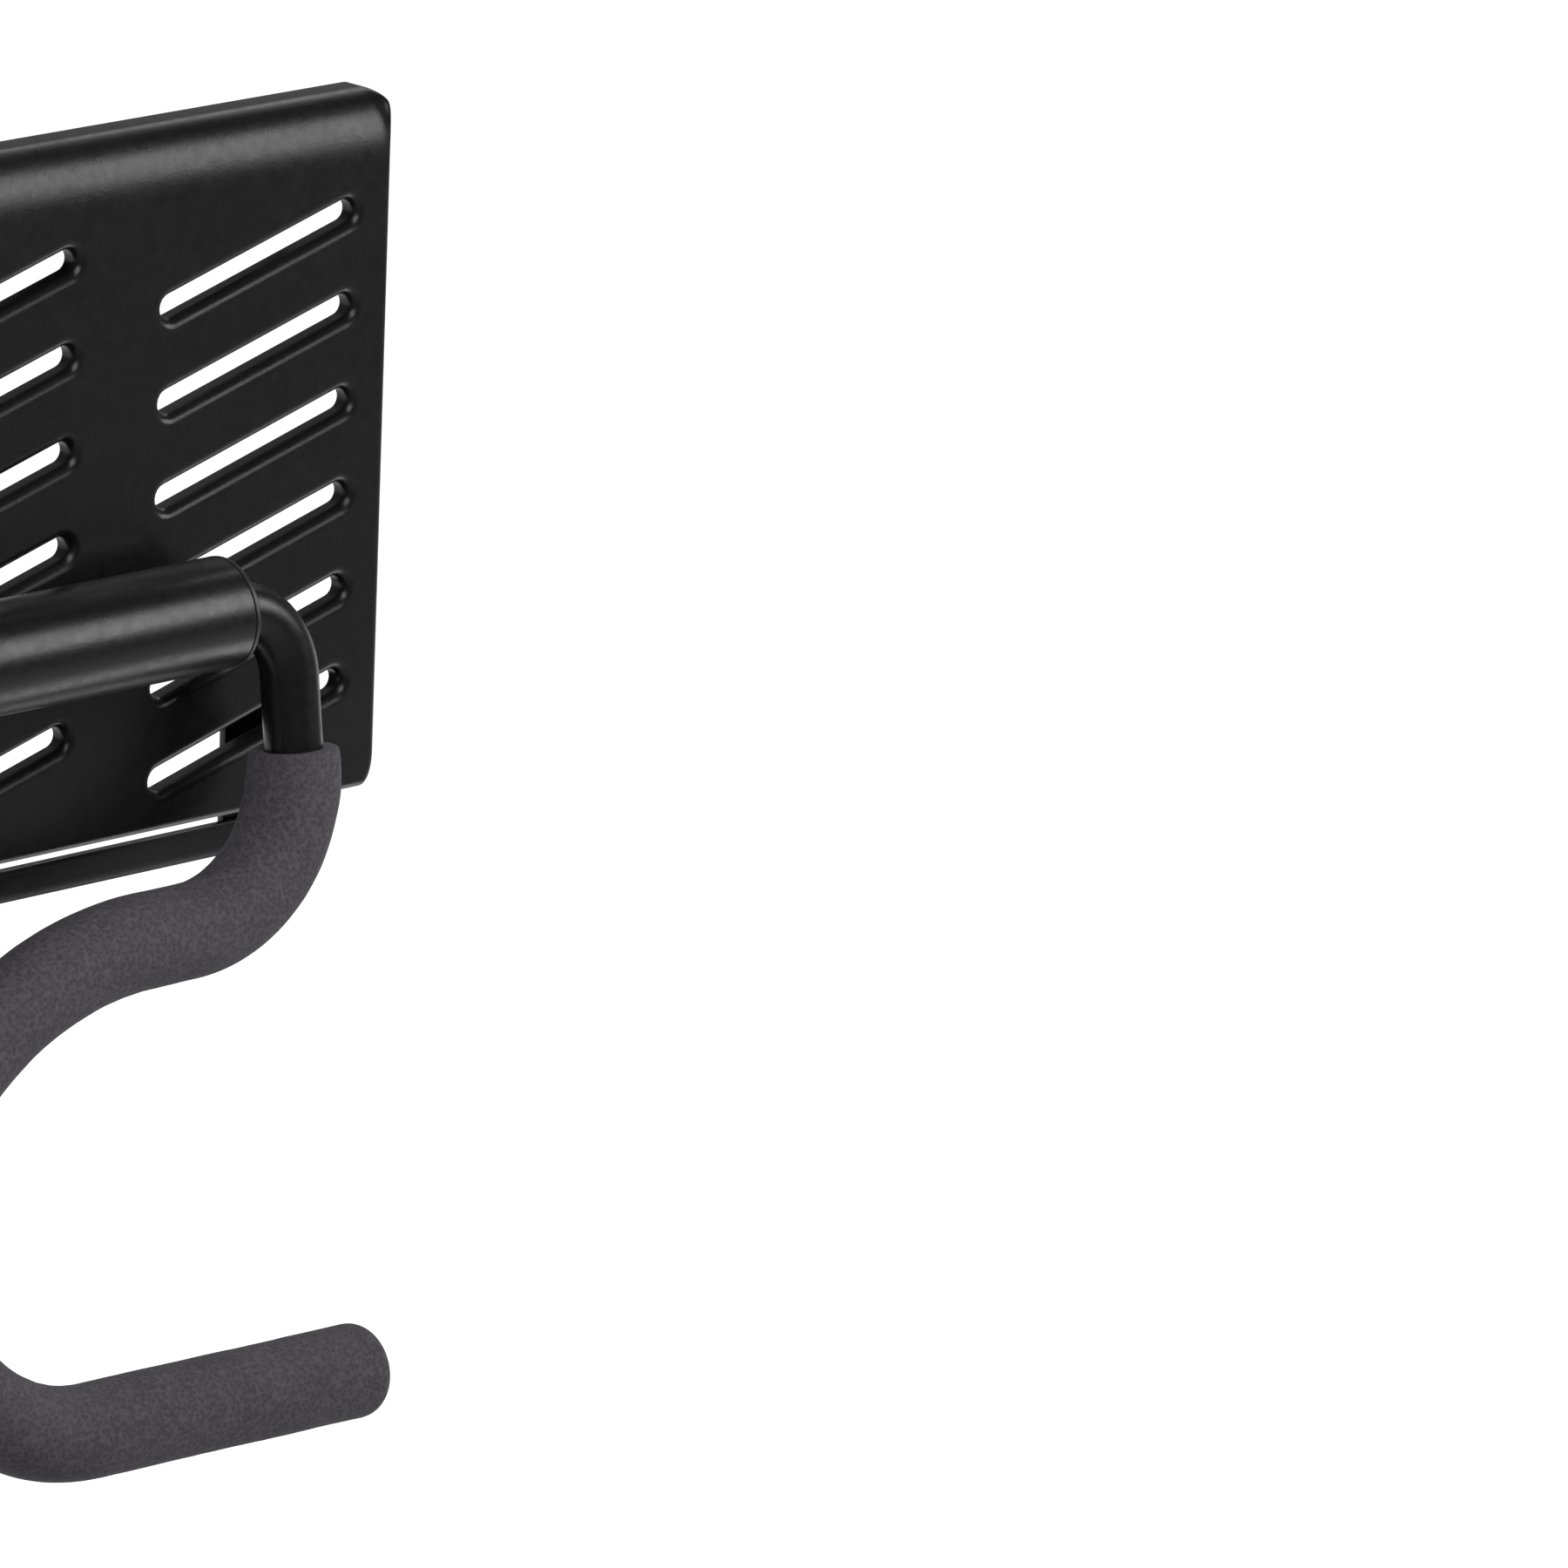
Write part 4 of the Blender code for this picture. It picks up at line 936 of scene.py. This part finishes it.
def spread(tree, value, low, high, from_low=0.3, from_high=0.7):
    """A socket with a value mapped to a range."""
    inputs = {"Value": value, "From Min": from_low, "From Max": from_high, "To Min": low, "To Max": high}
    return shader_node(tree, "MapRange", inputs).outputs["Result"]


def noise_of(tree, scale, detail=2.0, roughness=0.5):
    """A socket with a noise in the object's own metres."""
    coords = shader_node(tree, "TexCoord").outputs["Object"]
    inputs = {"Vector": coords, "Scale": scale, "Detail": detail, "Roughness": roughness}
    return shader_node(tree, "TexNoise", inputs).outputs["Fac"]


def powder_coat():
    """Satin black powder coat: a fine orange peel, a cloudy black and an uneven gloss."""
    material, tree, shader = new_material("powder_coat", specular_ior_level=0.28)
    clouds = noise_of(tree, 22, 4)
    peel = noise_of(tree, 900, 2)
    color = blend(tree, spread(tree, clouds, 0, 1), (0.0040, 0.0035, 0.0037), (0.0062, 0.0056, 0.0060))
    tree.links.new(color, shader.inputs["Base Color"])
    tree.links.new(spread(tree, noise_of(tree, 260, 3), 0.27, 0.35), shader.inputs["Roughness"])
    bump = shader_node(tree, "Bump", {"Height": peel, "Strength": 0.35, "Distance": 0.00012})
    tree.links.new(bump.outputs["Normal"], shader.inputs["Normal"])
    return material


def foam_rubber():
    """Charcoal closed-cell foam, cut open: fine pale cell walls over dark pores, and no gloss."""
    material, tree, shader = new_material(
        "foam", specular_ior_level=0.12, sheen_weight=0.04, sheen_roughness=0.45
    )
    coords = shader_node(tree, "TexCoord").outputs["Object"]
    cells = shader_node(tree, "TexVoronoi", {"Vector": coords, "Scale": 640.0}, feature="F1")
    grain = noise_of(tree, 520, 4, 0.5)
    mottle = noise_of(tree, 45, 3)
    pores = spread(tree, cells.outputs["Distance"], 0, 1, 0.1, 0.75)
    mixed = shader_node(tree, "Math", {0: pores, 1: grain}, operation="MULTIPLY").outputs[0]
    shade = spread(tree, mottle, -0.06, 0.06)
    tone = shader_node(tree, "Math", {0: mixed, 1: shade}, operation="ADD").outputs[0]
    walls = spread(tree, tone, 0, 1, 0.0, 0.62)
    color = blend(tree, walls, (0.042, 0.0395, 0.0435), (0.086, 0.0815, 0.0885))
    tree.links.new(color, shader.inputs["Base Color"])
    tree.links.new(spread(tree, grain, 0.82, 0.96), shader.inputs["Roughness"])
    bump = shader_node(tree, "Bump", {"Height": mixed, "Strength": 0.6, "Distance": 0.0003})
    tree.links.new(bump.outputs["Normal"], shader.inputs["Normal"])
    return material


def zinc_plate():
    """Zinc-plated steel: cloudy bright metal with fine brushing."""
    material, tree, shader = new_material("zinc", metallic=1.0)
    clouds = noise_of(tree, 180, 4)
    brushing = noise_of(tree, 2400, 2)
    color = blend(tree, spread(tree, clouds, 0, 1), (0.48, 0.49, 0.51), (0.68, 0.69, 0.71))
    tree.links.new(color, shader.inputs["Base Color"])
    tree.links.new(spread(tree, clouds, 0.24, 0.42), shader.inputs["Roughness"])
    bump = shader_node(tree, "Bump", {"Height": brushing, "Strength": 0.2, "Distance": 0.00005})
    tree.links.new(bump.outputs["Normal"], shader.inputs["Normal"])
    return material


def black_nylon():
    """Moulded black nylon: a fine spark-eroded grain and an uneven dull gloss."""
    material, tree, shader = new_material("nylon", specular_ior_level=0.40)
    grain = noise_of(tree, 1700, 2)
    clouds = noise_of(tree, 60, 3)
    color = blend(tree, spread(tree, clouds, 0, 1), (0.013, 0.013, 0.014), (0.020, 0.020, 0.021))
    tree.links.new(color, shader.inputs["Base Color"])
    tree.links.new(spread(tree, noise_of(tree, 140, 3), 0.34, 0.46), shader.inputs["Roughness"])
    bump = shader_node(tree, "Bump", {"Height": grain, "Strength": 0.4, "Distance": 0.0001})
    tree.links.new(bump.outputs["Normal"], shader.inputs["Normal"])
    return material


# Stage


def make_floor():
    """A pale floor that glows as a painted light, bright behind the rack and dimmer towards the room."""
    material, tree, shader = new_material("floor", roughness=0.9, specular_ior_level=0.0)
    shader.inputs["Base Color"].default_value = (0.52, 0.52, 0.53, 1)
    shader.inputs["Emission Color"].default_value = (1.0, 0.995, 1.0, 1)
    place = shader_node(tree, "TexCoord").outputs["Object"]
    depth = shader_node(tree, "SeparateXYZ", {"Vector": place}).outputs["Y"]
    # painted light: the floor's own glow, strong behind the rack and faint towards the room
    glow = spread(tree, depth, *FLOOR_GLOW, *FLOOR_GLOW_Y)
    tree.links.new(glow, shader.inputs["Emission Strength"])
    bm = bmesh.new()
    bmesh.ops.create_circle(bm, cap_ends=True, segments=64, radius=FLOOR_RADIUS)
    mesh = finished("floor", bm)
    mesh.transform(Matrix.Translation((0, 0, cad_bounds[0].z - FLOOR_DROP)))
    floor = bpy.data.objects.new("floor", mesh)
    bpy.context.scene.collection.objects.link(floor)
    mesh.materials.append(material)


def make_light(name, direction, distance, size, power):
    """A soft rectangular light that faces the rack's right end from a direction."""
    aim = Vector((PANEL_HIGH.x, TUBE_Y, TUBE_Z))
    light = bpy.data.lights.new(name, "AREA")
    light.shape = "RECTANGLE"
    light.size, light.size_y = size
    light.energy = power
    lamp = bpy.data.objects.new(name, light)
    lamp.location = aim + Vector(direction).normalized() * distance
    lamp.rotation_euler = (aim - lamp.location).to_track_quat("-Z", "Y").to_euler()
    bpy.context.scene.collection.objects.link(lamp)


def make_lights():
    """A dim room that is paler behind the rack, and large soft lights round its right end."""
    world = bpy.data.worlds.new("world")
    world.use_nodes = True
    tree = world.node_tree
    backdrop = tree.nodes["Background"]
    backdrop.inputs["Color"].default_value = (0.96, 0.96, 1.0, 1)
    outward = shader_node(tree, "TexCoord").outputs["Generated"]
    depth = shader_node(tree, "SeparateXYZ", {"Vector": outward}).outputs["Y"]
    tree.links.new(spread(tree, depth, *ROOM_GLOW, *ROOM_GLOW_Y), backdrop.inputs["Strength"])
    bpy.context.scene.world = world
    for light in LIGHTS:
        make_light(*light)


def make_camera():
    """The camera looks down at the rack's right end from the left, a little rolled."""
    azimuth, elevation = CAMERA_AZIMUTH, CAMERA_ELEVATION
    ahead = Vector((sin(azimuth) * cos(elevation), cos(azimuth) * cos(elevation), -sin(elevation)))
    level = Vector((cos(azimuth), -sin(azimuth), 0))
    upright = level.cross(ahead)
    right = level * cos(CAMERA_ROLL) + upright * sin(CAMERA_ROLL)
    up = upright * cos(CAMERA_ROLL) - level * sin(CAMERA_ROLL)
    lens = bpy.data.cameras.new("camera")
    lens.sensor_width = 36
    lens.lens = CAMERA_LENS
    lens.clip_end = 100
    camera = bpy.data.objects.new("camera", lens)
    turn = Matrix((right, up, -ahead)).transposed().to_4x4()
    camera.matrix_world = Matrix.Translation(CAMERA_TARGET - ahead * CAMERA_DISTANCE) @ turn
    bpy.context.scene.collection.objects.link(camera)
    bpy.context.scene.camera = camera
    bpy.context.scene.view_settings.view_transform = "Standard"


def dress_cad_nodes(materials):
    """Gives each CAD node that still shows the procedural material of its slot."""
    for part in frame["record"]["subparts"]:
        node = frame["nodes"][part["node"]]
        node.data.materials.clear()
        node.data.materials.append(materials[part["material_slot"]])


materials = {made.name: made for made in (powder_coat(), foam_rubber(), zinc_plate(), black_nylon())}
coat, foam = materials["powder_coat"], materials["foam"]
zinc, nylon = materials["zinc"], materials["nylon"]
dress_cad_nodes(materials)

piece("panel_skin", panel_mesh(), coat, "rack", "back_panel")
make_tube(coat)
make_end_bushes(nylon)
make_straps(coat, zinc, nylon)
make_panel_screws(zinc)
make_upper_rail(coat)
make_lower_rail(coat, zinc)
for side_name, side_sign in SIDES:
    make_arm(side_name, side_sign, coat)
    make_foam(side_name, side_sign, foam)
    make_boss(side_name, zinc)
    make_knob(side_name, nylon, zinc)
make_floor()
make_lights()
make_camera()
